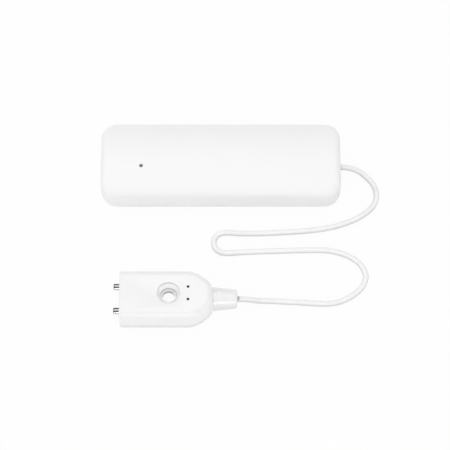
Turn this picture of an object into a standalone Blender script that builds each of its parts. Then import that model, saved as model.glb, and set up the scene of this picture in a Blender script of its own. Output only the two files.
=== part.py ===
"""Battery water leak sensor: a main unit, its cord and a remote two-pin probe.

Units are metres and +Z is up. The origin is the middle of the main unit's back face.
+X runs along the main unit towards its cord, and the probe lies on the -Y side of it.
"""

import math

import bmesh
import bpy
from mathutils import Matrix, Vector

# Gaps between pieces
CLEARANCE = 0.0003
SNUG_CLEARANCE = 0.00015

# Small chamfers on moulded and turned pieces
SMALL_EDGE = 0.0003

# Battery cells
CELL_DIAMETER = 0.0105
CELL_LENGTH = 0.0445
CELL_EDGE = 0.0005
NUB_DIAMETER = 0.0038
NUB_HEIGHT = 0.0008
CELL_SPACING = 0.0006
CELL_SEAT = 0.0005

# Springs and contacts
SPRING_ROOM = 0.0030
SPRING_WIRE = 0.0005
SPRING_TURNS = 3
SPRING_WIDE = 0.0068
SPRING_NARROW = 0.0044
CONTACT_THICKNESS = 0.0004
CONTACT_WIDTH = 0.0073
CONTACT_HEIGHT = 0.0068
CONTACT_CORNER = 0.0010
TAB_WIDTH = 0.0014
TAB_REACH = 0.0015

# Housing of the main unit
COVER_WALL = 0.0015
BACK_THICKNESS = 0.0015
BACK_INSET = 0.0004
BACK_CHAMFER = 0.0005
LIP_WALL = 0.0011
LIP_HEIGHT = 0.0024
SIDE_ROOM = 0.0011
HEADROOM = 0.0004
UNIT_CORNER = 0.0060
SHOULDER_RADIUS = 0.0024
CROWN_RISE = 0.0036
CROWN_STRIPS = 10
HOOK_PITCH = 0.0480
HOOK_LENGTH = 0.0050
HOOK_HEIGHT = 0.0009
HOOK_RISE = 0.0034
HOOK_CATCH = 0.0003
HOOK_RELIEF = 0.0001
PRY_WIDTH = 0.0032
PRY_HEIGHT = 0.0009
PRY_DEPTH = 0.0009

# Ribs on the back cover
SADDLE_THICKNESS = 0.0012
SADDLE_HEIGHT = 0.0042
SADDLE_PITCH = 0.0150
WIRE_TRENCH = 0.0032
END_WALL = 0.0012
END_WALL_HEIGHT = 0.0088
STANDOFF_DIAMETER = 0.0040
STANDOFF_HEIGHT = 0.0018
STANDOFF_INSET = 0.0026

# Main board and what sits on it
BOARD_GAP = 0.0004
BOARD_THICKNESS = 0.0010
SMALL_CORNER = 0.0010
PART_GAP = 0.0003
PART_EDGE_GAP = 0.0005
CONNECTOR_GAP = 0.0009
RADIO_LENGTH = 0.0120
RADIO_WIDTH = 0.0098
RADIO_THICKNESS = 0.0008
SHIELD_LENGTH = 0.0086
SHIELD_WIDTH = 0.0082
SHIELD_HEIGHT = 0.0016
SHIELD_WALL = 0.00025
ANTENNA_LENGTH = 0.0028
CHIP_LENGTH = 0.0049
CHIP_WIDTH = 0.0039
CHIP_HEIGHT = 0.0014
CHIP_X = 0.0054
CAPACITOR_DIAMETER = 0.0040
CAPACITOR_HEIGHT = 0.0044
CAPACITOR_X = 0.0081
SWITCH_SIZE = 0.0045
SWITCH_HEIGHT = 0.0020
SWITCH_CORNER = 0.00045
SWITCH_FROM_RIGHT = 0.0061
SWITCH_FROM_SIDE = 0.0042
BUTTON_DIAMETER = 0.0022
BUTTON_RISE = 0.0008
BUTTON_DEPTH = 0.0010
BUTTON_TRAVEL = 0.00025
SOCKET_LENGTH = 0.0050
SOCKET_WIDTH = 0.0059
SOCKET_HEIGHT = 0.0040
SOCKET_WALL = 0.0007
SOCKET_INSET = 0.0022
PLUG_OVERHANG = 0.0012

# Status light
LED_SIZE = 0.0016
LED_HEIGHT = 0.0006
LED_FROM_END = 0.0149
LED_Y = -0.0045
PIPE_DIAMETER = 0.0016
PIPE_TIP_DIAMETER = 0.0011
PIPE_FOOT_DIAMETER = 0.0030
PIPE_FOOT_HEIGHT = 0.0008
PIPE_RECESS = 0.00025
PIPE_BOSS_WALL = 0.0010

# Cord and its clamp
CORD_DIAMETER = 0.0021
CORE_DIAMETER = 0.0009
CORE_SPREAD = 0.0012
SLOT_TOP_FLAT = 0.00004
CORE_POINT_STEP = 0.0018
GROMMET_NECK_DIAMETER = 0.0034
GROMMET_FLANGE_DIAMETER = 0.0044
GROMMET_FLANGE = 0.0007
CLAMP_BAY = 0.0053
CLAMP_LENGTH = 0.0034
CLAMP_WIDTH = 0.0130
CLAMP_HEIGHT = 0.0019
CLAMP_SCREW_EDGE = 0.0019

# Small screws
SCREW_HEAD_DIAMETER = 0.0030
SCREW_HEAD_HEIGHT = 0.0010
SCREW_SHANK_DIAMETER = 0.0014
SCREW_LENGTH = 0.0026
SCREW_TIP = 0.0005
SCREW_TIP_DIAMETER = 0.0007

# Probe
PROBE_LEFT = -0.0364
PROBE_Y = -0.0535
PROBE_SIDE_ROOM = 0.0011
PROBE_HEADROOM = 0.0011
PROBE_WALL = 0.0015
PROBE_BASE = 0.0018
PROBE_BASE_CHAMFER = 0.0006
PROBE_LIP_WALL = 0.0010
PROBE_FILLET = 0.0024
PROBE_CORNER = 0.0025
PROBE_INNER_CORNER = 0.0003
TAPER_LENGTH = 0.0065
TAPER_END_FLAT = 0.0040

# Screw hole of the probe
HOLE_FROM_FACE = 0.0177
HOLE_TO_TAPER = 0.0093
HOLE_DIAMETER = 0.0044
DISH_DIAMETER = 0.0082
DISH_STEP = 0.0009
DISH_DEPTH = 0.0026
SEAT_DIAMETER = 0.0059
SEAT_DEPTH = 0.0034
TUBE_WALL = 0.0011
BELL_SIDE_GAP = 0.0004
BELL_HEADROOM = 0.0007

# Sensing contacts
PIN_DIAMETER = 0.0026
PIN_PROJECTION = 0.0023
PIN_SPACING = 0.0094
PIN_SHOULDER_DIAMETER = 0.0038
PIN_SHOULDER = 0.0008
PIN_TAIL = 0.0052
DRIP_FROM_RECESS = 0.0029
DRIP_SPACING = 0.0049
DRIP_HOLE_DIAMETER = 0.0011
DRIP_TIP_DIAMETER = 0.0008
DRIP_FOOT_DIAMETER = 0.0022
DRIP_RECESS = 0.0006
PROBE_BOARD_THICKNESS = 0.0010
PROBE_BOARD_GAP = 0.0008

# Strain relief
RELIEF_BASE_DIAMETER = 0.0086
RELIEF_TIP_DIAMETER = 0.0070
RELIEF_LENGTH = 0.0086
RELIEF_COLLAR = 0.0012
RELIEF_COLLAR_STEP = 0.0001
RELIEF_NECK_DIAMETER = 0.0048
RELIEF_FLANGE_DIAMETER = 0.0062
RELIEF_FLANGE = 0.0010
RELIEF_EDGE = 0.0010
RELIEF_EDGE_STEPS = 3

# Free cord: its route's own points between the main unit and the strain relief
CORD_FLOOR_Z = CORD_DIAMETER / 2
CORD_POINT_STEP = 0.0027
CORD_ROUTE = (
    (0.0465, 0.0001, 0.0034),
    (0.0490, 0.0000, 0.0024),
    (0.0515, -0.0008, 0.0014),
    (0.0537, -0.0025, CORD_FLOOR_Z),
    (0.0564, -0.0060, CORD_FLOOR_Z),
    (0.0574, -0.0099, CORD_FLOOR_Z),
    (0.0566, -0.0135, CORD_FLOOR_Z),
    (0.0545, -0.0163, CORD_FLOOR_Z),
    (0.0511, -0.0189, CORD_FLOOR_Z),
    (0.0472, -0.0209, CORD_FLOOR_Z),
    (0.0402, -0.0232, CORD_FLOOR_Z),
    (0.0308, -0.0246, CORD_FLOOR_Z),
    (0.0168, -0.0255, CORD_FLOOR_Z),
    (0.0075, -0.0256, CORD_FLOOR_Z),
    (0.0016, -0.0253, CORD_FLOOR_Z),
    (-0.0014, -0.0265, CORD_FLOOR_Z),
    (-0.0026, -0.0294, CORD_FLOOR_Z),
    (-0.0014, -0.0323, CORD_FLOOR_Z),
    (0.0016, -0.0335, CORD_FLOOR_Z),
    (0.0075, -0.0332, CORD_FLOOR_Z),
    (0.0168, -0.0328, CORD_FLOOR_Z),
    (0.0289, -0.0324, CORD_FLOOR_Z),
    (0.0377, -0.0324, CORD_FLOOR_Z),
    (0.0424, -0.0332, CORD_FLOOR_Z),
    (0.0471, -0.0351, CORD_FLOOR_Z),
    (0.0507, -0.0380, CORD_FLOOR_Z),
    (0.0526, -0.0419, CORD_FLOOR_Z),
    (0.0522, -0.0451, CORD_FLOOR_Z),
    (0.0503, -0.0482, CORD_FLOOR_Z),
    (0.0466, -0.0512, CORD_FLOOR_Z),
    (0.0420, -0.0531, CORD_FLOOR_Z),
    (0.0373, -0.0536, CORD_FLOOR_Z),
    (0.0281, -0.0531, CORD_FLOOR_Z),
    (0.0200, -0.0527, 0.0012),
    (0.0140, -0.0530, 0.0024),
    (0.0100, -0.0533, 0.0042),
)

# Facets
CORNER_STEPS = 6
SMALL_CORNER_STEPS = 3
FILLET_STEPS = 5
TURN_STEPS = 24
SMALL_TURN_STEPS = 16
SPRING_TURN_STEPS = 12
ROUTE_SAMPLES = 32
SHARP_ANGLE = math.radians(35)
NEAR = 1e-6

# Widths and heights that follow from the sizes above
SHELL = COVER_WALL + CLEARANCE + LIP_WALL
CELL_Y = (CELL_DIAMETER + CELL_SPACING) / 2
CELL_Z = BACK_THICKNESS + CELL_SEAT + CELL_DIAMETER / 2
UNIT_WIDTH = 2 * CELL_Y + CELL_DIAMETER + 2 * (SIDE_ROOM + SHELL)
LIP_INNER_Y = UNIT_WIDTH / 2 - SHELL
LIP_OUTER_Y = LIP_INNER_Y + LIP_WALL
LIP_OUTER_CORNER = UNIT_CORNER - COVER_WALL - CLEARANCE
LIP_INNER_CORNER = LIP_OUTER_CORNER - LIP_WALL
RIM_Z = BACK_THICKNESS + CLEARANCE


def crown_lift(y):
    """Height that the crown adds over the shoulder at one distance from the middle line."""
    return CROWN_RISE * (1 - (2 * y / UNIT_WIDTH) ** 2)


SHOULDER_Z = CELL_Z + CELL_DIAMETER / 2 + HEADROOM + COVER_WALL - crown_lift(CELL_Y)

# Places along the main unit, from its left end to its right end
RADIO_INSET = STANDOFF_INSET + SCREW_HEAD_DIAMETER / 2 + CLEARANCE
BOARD_LENGTH = RADIO_INSET + RADIO_LENGTH + CONNECTOR_GAP + SOCKET_LENGTH + SOCKET_INSET
HOLDER_LENGTH = 2 * (END_WALL + CLEARANCE + CONTACT_THICKNESS) + SPRING_ROOM + CELL_LENGTH + CLEARANCE
UNIT_LENGTH = 2 * SHELL + 2 * BOARD_GAP + BOARD_LENGTH + HOLDER_LENGTH + CLAMP_BAY
UNIT_END = UNIT_LENGTH / 2
BOARD_LEFT = -UNIT_END + SHELL + BOARD_GAP
BOARD_RIGHT = BOARD_LEFT + BOARD_LENGTH
LEFT_WALL_X = BOARD_RIGHT + BOARD_GAP + END_WALL / 2
LEFT_CONTACT_X = LEFT_WALL_X + END_WALL / 2 + CLEARANCE + CONTACT_THICKNESS
RIGHT_CONTACT_X = LEFT_CONTACT_X + SPRING_ROOM + CELL_LENGTH + CLEARANCE
RIGHT_WALL_X = RIGHT_CONTACT_X + CONTACT_THICKNESS + CLEARANCE + END_WALL / 2
CLAMP_X = RIGHT_WALL_X + END_WALL / 2 + CLAMP_BAY / 2
SADDLE_MIDDLE_X = (LEFT_CONTACT_X + RIGHT_CONTACT_X) / 2

# Main board levels
BOARD_WIDTH = 2 * (LIP_INNER_Y - BOARD_GAP)
BOARD_BOTTOM = BACK_THICKNESS + STANDOFF_HEIGHT + CLEARANCE
BOARD_TOP = BOARD_BOTTOM + BOARD_THICKNESS
PARTS_Z = BOARD_TOP + CLEARANCE
STANDOFF_Y = BOARD_WIDTH / 2 - STANDOFF_INSET
RADIO_LEFT = BOARD_LEFT + RADIO_INSET
RADIO_Y = BOARD_WIDTH / 2 - PART_EDGE_GAP - RADIO_WIDTH / 2
CAPACITOR_Y = -BOARD_WIDTH / 2 + PART_EDGE_GAP + CAPACITOR_DIAMETER / 2
CHIP_Y = CAPACITOR_Y + CAPACITOR_DIAMETER / 2 + PART_GAP + CHIP_WIDTH / 2
SWITCH_X = BOARD_RIGHT - SWITCH_FROM_RIGHT
SWITCH_Y = -BOARD_WIDTH / 2 + SWITCH_FROM_SIDE
LED_X = -UNIT_END + LED_FROM_END
PIPE_BOTTOM = PARTS_Z + LED_HEIGHT + CLEARANCE
PIPE_BOSS_BOTTOM = PIPE_BOTTOM + PIPE_FOOT_HEIGHT + CLEARANCE
COVER_TOP_AT_LED = SHOULDER_Z + crown_lift(LED_Y)
COVER_CEILING_AT_LED = COVER_TOP_AT_LED - COVER_WALL

# Cord levels inside the main unit
CORD_EXIT_Z = BACK_THICKNESS + CLEARANCE + GROMMET_FLANGE_DIAMETER / 2
CORD_START = (UNIT_END + CLEARANCE, 0.0, CORD_EXIT_Z)
TRENCH_Z = BACK_THICKNESS + CLEARANCE + CORE_DIAMETER / 2
CLAMP_SCREW_SEAT = CORD_EXIT_Z + CLEARANCE / 2 + CLAMP_HEIGHT - SCREW_HEAD_HEIGHT
CLAMP_SCREW_PITCH = CLAMP_WIDTH - 2 * CLAMP_SCREW_EDGE

# Probe levels and places
PROBE_WIDTH = PIN_SPACING + PIN_SHOULDER_DIAMETER + 2 * (PROBE_SIDE_ROOM + PROBE_WALL)
TAPER_END_WIDTH = 2 * PROBE_FILLET + TAPER_END_FLAT
HOLE_X = PROBE_LEFT + HOLE_FROM_FACE
PROBE_RIGHT = HOLE_X + HOLE_TO_TAPER + TAPER_LENGTH
DRIP_X = HOLE_X + DISH_DIAMETER / 2 + DRIP_FROM_RECESS
PROBE_AXIS_Z = PROBE_BASE + CLEARANCE + RELIEF_FLANGE_DIAMETER / 2
PROBE_LIP_INSET = PROBE_WALL + CLEARANCE
PROBE_LIP_TOP = PROBE_AXIS_Z - PIN_SHOULDER_DIAMETER / 2 - CLEARANCE
PROBE_RIM_Z = PROBE_BASE + CLEARANCE
PROBE_BOARD_BOTTOM = PROBE_AXIS_Z + PIN_SHOULDER_DIAMETER / 2 + CLEARANCE
PROBE_BOARD_TOP = PROBE_BOARD_BOTTOM + PROBE_BOARD_THICKNESS
PROBE_CEILING = PROBE_BOARD_TOP + PROBE_HEADROOM
PROBE_HEIGHT = PROBE_CEILING + PROBE_WALL
BELL_RADIUS = PROBE_WIDTH / 2 - PROBE_LIP_INSET - PROBE_LIP_WALL - BELL_SIDE_GAP - TUBE_WALL
BELL_ROOF_Z = PROBE_BOARD_BOTTOM - BELL_HEADROOM - TUBE_WALL
RELIEF_START = PROBE_RIGHT + CLEARANCE
RELIEF_FLANGE_RIGHT = PROBE_RIGHT - PROBE_WALL - CLEARANCE
RELIEF_FLANGE_LEFT = RELIEF_FLANGE_RIGHT - RELIEF_FLANGE
CORD_END = (RELIEF_START + RELIEF_LENGTH + CLEARANCE, PROBE_Y, PROBE_AXIS_Z)

# Colour, roughness and metallic value of each finish
WHITE_SHELL = ((0.88, 0.88, 0.87), 0.38, 0.0)
WHITE_SOFT = ((0.84, 0.84, 0.83), 0.55, 0.0)
GREEN_BOARD = ((0.03, 0.20, 0.09), 0.45, 0.0)
BLACK_MOULDING = ((0.02, 0.02, 0.022), 0.45, 0.0)
CREAM_MOULDING = ((0.80, 0.76, 0.66), 0.50, 0.0)
SMOKED_CLEAR = ((0.12, 0.12, 0.13), 0.15, 0.0)
LAMP_YELLOW = ((0.85, 0.75, 0.35), 0.30, 0.0)
BRIGHT_NICKEL = ((0.72, 0.71, 0.69), 0.22, 1.0)
DARK_NICKEL = ((0.09, 0.09, 0.09), 0.45, 1.0)
ZINC_STEEL = ((0.60, 0.61, 0.62), 0.38, 1.0)
CELL_JACKET = ((0.10, 0.12, 0.14), 0.35, 0.3)
RED_WIRE = ((0.60, 0.03, 0.03), 0.50, 0.0)
BLACK_WIRE = ((0.03, 0.03, 0.03), 0.50, 0.0)


def clear_scene():
    """Removes whatever the file held before."""
    for old in list(bpy.data.objects):
        bpy.data.objects.remove(old, do_unlink=True)


def new_collection(name):
    """Makes a collection under the scene's own."""
    collection = bpy.data.collections.new(name)
    bpy.context.scene.collection.children.link(collection)
    return collection


clear_scene()
SENSOR = new_collection("water_leak_sensor")
TOOLS = new_collection("cutters_and_ribs")


def new_assembly(name):
    """Makes the empty that a group of pieces hangs under."""
    empty = bpy.data.objects.new(name, None)
    SENSOR.objects.link(empty)
    return empty


UNIT = new_assembly("main_unit_assembly")
PROBE = new_assembly("probe_assembly")


def finish(piece, look):
    """Gives a piece its own material."""
    colour, roughness, metallic = look
    material = bpy.data.materials.new(piece.name + "_finish")
    material.use_nodes = True
    shader = material.node_tree.nodes["Principled BSDF"]
    shader.inputs["Base Color"].default_value = (*colour, 1.0)
    shader.inputs["Roughness"].default_value = roughness
    shader.inputs["Metallic"].default_value = metallic
    piece.data.materials.append(material)


def box(bm, low, high):
    """Adds a box between two corners."""
    low = Vector(low)
    high = Vector(high)
    size = high - low
    place = Matrix.Translation((low + high) / 2) @ Matrix.Diagonal((*size, 1.0))
    return bmesh.ops.create_cube(bm, size=1.0, matrix=place)["verts"]


def cylinder(bm, radius, start, end, steps=TURN_STEPS):
    """Adds a capped cylinder between two points."""
    start = Vector(start)
    end = Vector(end)
    axis = end - start
    turn = axis.to_track_quat("Z", "Y").to_matrix().to_4x4()
    place = Matrix.Translation((start + end) / 2) @ turn
    bmesh.ops.create_cone(bm, cap_ends=True, segments=steps, radius1=radius, radius2=radius,
                          depth=axis.length, matrix=place)


def bevel(bm, edges, radius, steps=1):
    """Rounds edges, or chamfers them with one step."""
    bmesh.ops.bevel(bm, geom=edges, offset=radius, segments=steps, profile=0.5, affect="EDGES")


def upright(edge):
    """Tells whether an edge is vertical."""
    first, second = (vert.co for vert in edge.verts)
    return (first.xy - second.xy).length < NEAR


def at_level(edge, z):
    """Tells whether an edge lies at one height."""
    return all(abs(vert.co.z - z) < NEAR for vert in edge.verts)


def rounded_block(bm, low, high, corner, steps=CORNER_STEPS):
    """Adds a box with rounded vertical edges."""
    verts = box(bm, low, high)
    edges = {edge for vert in verts for edge in vert.link_edges if upright(edge)}
    bevel(bm, list(edges), corner, steps)


def open_underside(bm, z):
    """Removes the flat underside of a block, whose height is z."""
    under = [face for face in bm.faces if all(abs(vert.co.z - z) < NEAR for vert in face.verts)]
    bmesh.ops.delete(bm, geom=under, context="FACES")


def new_object(name, bm, collection, parent):
    """Turns a bmesh into an object of one collection."""
    mesh = bpy.data.meshes.new(name)
    bm.to_mesh(mesh)
    bm.free()
    mesh.shade_smooth()
    mesh.set_sharp_from_angle(angle=SHARP_ANGLE)
    piece = bpy.data.objects.new(name, mesh)
    piece.parent = parent
    collection.objects.link(piece)
    return piece


def new_piece(name, bm, look, parent):
    """Makes one of the sensor's own pieces."""
    piece = new_object(name, bm, SENSOR, parent)
    finish(piece, look)
    return piece


def new_tool(name, bm, parent):
    """Makes a helper body that is cut from a piece or joined to it."""
    tool = new_object(name, bm, TOOLS, parent)
    tool.hide_render = True
    tool.display_type = "WIRE"
    return tool


def apply_tool(piece, tool, operation):
    """Cuts a tool from a piece, or joins it to the piece."""
    modifier = piece.modifiers.new(tool.name, "BOOLEAN")
    modifier.operation = operation
    modifier.solver = "EXACT"
    modifier.object = tool


def cut(piece, tool):
    """Takes a tool's body away from a piece."""
    apply_tool(piece, tool, "DIFFERENCE")


def join(piece, tool):
    """Adds a tool's body to a piece."""
    apply_tool(piece, tool, "UNION")


def add_wall(piece, thickness):
    """Gives an open skin a wall on its inner side."""
    wall = piece.modifiers.new("wall", "SOLIDIFY")
    wall.thickness = thickness
    wall.offset = -1
    wall.use_even_offset = True


def half_section(profile, closed=False):
    """Draws a profile of (radius, height) points, listed down its outer side."""
    bm = bmesh.new()
    verts = [bm.verts.new((radius, 0.0, height)) for radius, height in profile]
    for first, second in zip(verts, verts[1:]):
        bm.edges.new((first, second))
    if closed:
        bm.edges.new((verts[-1], verts[0]))
    return bm


def turn(piece, steps):
    """Turns a piece's half section round its own Z axis."""
    screw = piece.modifiers.new("turn", "SCREW")
    screw.axis = "Z"
    screw.angle = math.radians(360)
    screw.steps = steps
    screw.render_steps = steps
    screw.use_merge_vertices = True
    screw.merge_threshold = 0.00001


def turned(name, profile, look, parent, place, along_x=False, closed=False, steps=TURN_STEPS):
    """Turns a profile into one of the sensor's own pieces."""
    piece = new_piece(name, half_section(profile, closed), look, parent)
    piece.location = place
    if along_x:
        piece.rotation_euler = (0.0, math.radians(90), 0.0)
    turn(piece, steps)
    return piece


def turned_tool(name, profile, parent, place):
    """Turns a profile into an upright helper body."""
    tool = new_tool(name, half_section(profile), parent)
    tool.location = place
    turn(tool, TURN_STEPS)
    return tool


def smooth_route(points, step):
    """Reads evenly spaced points from a smooth curve through a route's own points."""
    knots = [Vector(point) for point in points]
    knots = [2 * knots[0] - knots[1], *knots, 2 * knots[-1] - knots[-2]]
    fine = []
    for before, first, second, after in zip(knots, knots[1:], knots[2:], knots[3:]):
        for index in range(ROUTE_SAMPLES):
            t = index / ROUTE_SAMPLES
            fine.append(0.5 * (2 * first + (second - before) * t
                               + (2 * before - 5 * first + 4 * second - after) * t ** 2
                               + (3 * first - before - 3 * second + after) * t ** 3))
    fine.append(knots[-2])
    lengths = [0.0]
    for first, second in zip(fine, fine[1:]):
        lengths.append(lengths[-1] + (second - first).length)
    count = round(lengths[-1] / step)
    route = []
    index = 0
    for number in range(count + 1):
        wanted = lengths[-1] * number / count
        while index < len(fine) - 2 and lengths[index + 1] < wanted:
            index += 1
        share = (wanted - lengths[index]) / (lengths[index + 1] - lengths[index])
        route.append(fine[index].lerp(fine[index + 1], share))
    return route


def round_wire(name, route, diameter, look, parent):
    """Makes a round wire along a route."""
    curve = bpy.data.curves.new(name, "CURVE")
    curve.dimensions = "3D"
    curve.bevel_depth = diameter / 2
    curve.bevel_resolution = 2
    curve.use_fill_caps = True
    spline = curve.splines.new("POLY")
    spline.points.add(len(route) - 1)
    for point, place in zip(spline.points, route):
        point.co = (*place, 1.0)
    piece = bpy.data.objects.new(name, curve)
    piece.parent = parent
    SENSOR.objects.link(piece)
    finish(piece, look)
    return piece


# Main unit housing


def round_top_slot(bm, start_x, end_x, radius, bottom, axis_z):
    """Adds a slot along X that is open below and half round at its top."""
    verts = box(bm, (start_x, -radius, bottom), (end_x, radius, axis_z + radius))
    top = [edge for edge in bm.edges if at_level(edge, axis_z + radius)
           and all(vert in verts for vert in edge.verts)
           and abs(edge.verts[0].co.y - edge.verts[1].co.y) < NEAR]
    bevel(bm, top, radius - SLOT_TOP_FLAT, CORNER_STEPS)


def build_front_cover():
    """Front cover: a crowned shell with the light's boss, catches, a cord slot and a pry notch."""
    bm = bmesh.new()
    half_width = UNIT_WIDTH / 2
    rounded_block(bm, (-UNIT_END, -half_width, RIM_Z), (UNIT_END, half_width, SHOULDER_Z), UNIT_CORNER)
    bevel(bm, [edge for edge in bm.edges if at_level(edge, SHOULDER_Z)], SHOULDER_RADIUS, FILLET_STEPS)
    open_underside(bm, RIM_Z)
    flat_half = half_width - SHOULDER_RADIUS
    for strip in range(1, CROWN_STRIPS):
        y = -flat_half + 2 * flat_half * strip / CROWN_STRIPS
        bmesh.ops.bisect_plane(bm, geom=bm.verts[:] + bm.edges[:] + bm.faces[:], dist=NEAR,
                               plane_co=(0, y, 0), plane_no=(0, 1, 0))
    fillet_start = SHOULDER_Z - SHOULDER_RADIUS
    for vert in bm.verts:
        share = max(0.0, (vert.co.z - fillet_start) / SHOULDER_RADIUS)
        vert.co.z += share * crown_lift(vert.co.y)
    cover = new_piece("front_cover", bm, WHITE_SHELL, UNIT)
    add_wall(cover, COVER_WALL)

    bm = bmesh.new()
    boss_radius = PIPE_DIAMETER / 2 + SNUG_CLEARANCE + PIPE_BOSS_WALL
    boss_top = COVER_CEILING_AT_LED + COVER_WALL / 2
    cylinder(bm, boss_radius, (LED_X, LED_Y, PIPE_BOSS_BOTTOM), (LED_X, LED_Y, boss_top), SMALL_TURN_STEPS)
    join(cover, new_tool("light_boss", bm, UNIT))

    bm = bmesh.new()
    bore_radius = PIPE_DIAMETER / 2 + SNUG_CLEARANCE
    cylinder(bm, bore_radius, (LED_X, LED_Y, PIPE_BOSS_BOTTOM - CLEARANCE),
             (LED_X, LED_Y, COVER_CEILING_AT_LED), SMALL_TURN_STEPS)
    cut(cover, new_tool("light_bore", bm, UNIT))

    bm = bmesh.new()
    hole_radius = PIPE_TIP_DIAMETER / 2 + SNUG_CLEARANCE
    cylinder(bm, hole_radius, (LED_X, LED_Y, COVER_CEILING_AT_LED - COVER_WALL),
             (LED_X, LED_Y, COVER_TOP_AT_LED + COVER_WALL), SMALL_TURN_STEPS)
    cut(cover, new_tool("light_hole", bm, UNIT))

    bm = bmesh.new()
    wall_face = half_width - COVER_WALL
    reach = HOOK_LENGTH / 2 + CLEARANCE
    low = BACK_THICKNESS + HOOK_RISE - CLEARANCE
    high = BACK_THICKNESS + HOOK_RISE + HOOK_HEIGHT + CLEARANCE
    for side in (-1, 1):
        edges_y = sorted((side * (wall_face - CLEARANCE), side * (wall_face + CLEARANCE + HOOK_CATCH)))
        for x in (-HOOK_PITCH / 2, HOOK_PITCH / 2):
            box(bm, (x - reach, edges_y[0], low), (x + reach, edges_y[1], high))
    cut(cover, new_tool("hook_pockets", bm, UNIT))

    bm = bmesh.new()
    slot_radius = GROMMET_NECK_DIAMETER / 2 + SNUG_CLEARANCE
    round_top_slot(bm, UNIT_END - SHELL, UNIT_END + COVER_WALL, slot_radius, 0.0, CORD_EXIT_Z)
    cut(cover, new_tool("cord_slot", bm, UNIT))

    bm = bmesh.new()
    box(bm, (-PRY_WIDTH / 2, -half_width - COVER_WALL, 0.0),
        (PRY_WIDTH / 2, -half_width + PRY_DEPTH, RIM_Z + PRY_HEIGHT))
    cut(cover, new_tool("pry_notch", bm, UNIT))


def build_lip():
    """Rim that stands on the back cover inside the front cover, open where the cord passes."""
    top = BACK_THICKNESS + LIP_HEIGHT
    outer_x = UNIT_END - COVER_WALL - CLEARANCE
    inner_x = outer_x - LIP_WALL
    bm = bmesh.new()
    rounded_block(bm, (-outer_x, -LIP_OUTER_Y, BACK_THICKNESS / 2), (outer_x, LIP_OUTER_Y, top),
                  LIP_OUTER_CORNER)
    lip = new_tool("lip", bm, UNIT)
    bm = bmesh.new()
    rounded_block(bm, (-inner_x, -LIP_INNER_Y, 0.0), (inner_x, LIP_INNER_Y, top + LIP_HEIGHT),
                  LIP_INNER_CORNER)
    cut(lip, new_tool("lip_pocket", bm, UNIT))
    bm = bmesh.new()
    notch = GROMMET_FLANGE_DIAMETER / 2 + CLEARANCE
    box(bm, (inner_x - LIP_WALL, -notch, 0.0), (UNIT_END, notch, top + LIP_HEIGHT))
    cut(lip, new_tool("lip_notch", bm, UNIT))
    return lip


def build_saddles():
    """Ribs that cradle the two cells."""
    bm = bmesh.new()
    outer = LIP_INNER_Y + LIP_WALL / 2
    for index in (-1, 0, 1):
        x = SADDLE_MIDDLE_X + index * SADDLE_PITCH
        for side in (-1, 1):
            edges_y = sorted((side * WIRE_TRENCH / 2, side * outer))
            box(bm, (x - SADDLE_THICKNESS / 2, edges_y[0], BACK_THICKNESS / 2),
                (x + SADDLE_THICKNESS / 2, edges_y[1], BACK_THICKNESS + SADDLE_HEIGHT))
    saddles = new_tool("saddles", bm, UNIT)
    bm = bmesh.new()
    for side in (-1, 1):
        cylinder(bm, CELL_DIAMETER / 2 + CLEARANCE, (LEFT_CONTACT_X, side * CELL_Y, CELL_Z),
                 (RIGHT_CONTACT_X, side * CELL_Y, CELL_Z))
    cut(saddles, new_tool("cell_space", bm, UNIT))
    return saddles


def build_hooks():
    """Snap hooks along both long sides of the lip."""
    low = BACK_THICKNESS + HOOK_RISE
    high = low + HOOK_HEIGHT
    head_y = LIP_OUTER_Y + CLEARANCE + HOOK_CATCH
    tabs = bmesh.new()
    heads = bmesh.new()
    for side in (-1, 1):
        tab_y = sorted((side * (LIP_INNER_Y + HOOK_RELIEF), side * (LIP_OUTER_Y - HOOK_RELIEF)))
        nose_y = sorted((side * (LIP_INNER_Y + LIP_WALL / 2), side * head_y))
        for x in (-HOOK_PITCH / 2, HOOK_PITCH / 2):
            left = x - HOOK_LENGTH / 2
            right = x + HOOK_LENGTH / 2
            box(tabs, (left, tab_y[0], BACK_THICKNESS / 2), (right, tab_y[1], high + HOOK_RELIEF))
            verts = box(heads, (left + HOOK_RELIEF, nose_y[0], low), (right - HOOK_RELIEF, nose_y[1], high))
            nose = {edge for vert in verts for edge in vert.link_edges
                    if at_level(edge, high) and all(abs(v.co.y - side * head_y) < NEAR for v in edge.verts)}
            bevel(heads, list(nose), HOOK_CATCH)
    hooks = new_tool("hook_tabs", tabs, UNIT)
    join(hooks, new_tool("hook_heads", heads, UNIT))
    return hooks


def build_standoffs():
    """Round feet under the main board, bored for its screws at the left end."""
    bm = bmesh.new()
    for x in (BOARD_LEFT + STANDOFF_INSET, BOARD_RIGHT - STANDOFF_INSET):
        for side in (-1, 1):
            cylinder(bm, STANDOFF_DIAMETER / 2, (x, side * STANDOFF_Y, BACK_THICKNESS / 2),
                     (x, side * STANDOFF_Y, BACK_THICKNESS + STANDOFF_HEIGHT), SMALL_TURN_STEPS)
    return new_tool("standoffs", bm, UNIT)


def build_end_walls():
    """Walls that back the battery contacts, with gaps for the tabs and the cord's cores."""
    bm = bmesh.new()
    inner = CELL_Y - CONTACT_WIDTH / 2 + TAB_WIDTH + CLEARANCE
    outer = CELL_Y + CELL_DIAMETER / 2
    for x in (LEFT_WALL_X, RIGHT_WALL_X):
        for side in (-1, 1):
            edges_y = sorted((side * inner, side * outer))
            box(bm, (x - END_WALL / 2, edges_y[0], BACK_THICKNESS / 2),
                (x + END_WALL / 2, edges_y[1], BACK_THICKNESS + END_WALL_HEIGHT))
    return new_tool("end_walls", bm, UNIT)


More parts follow.
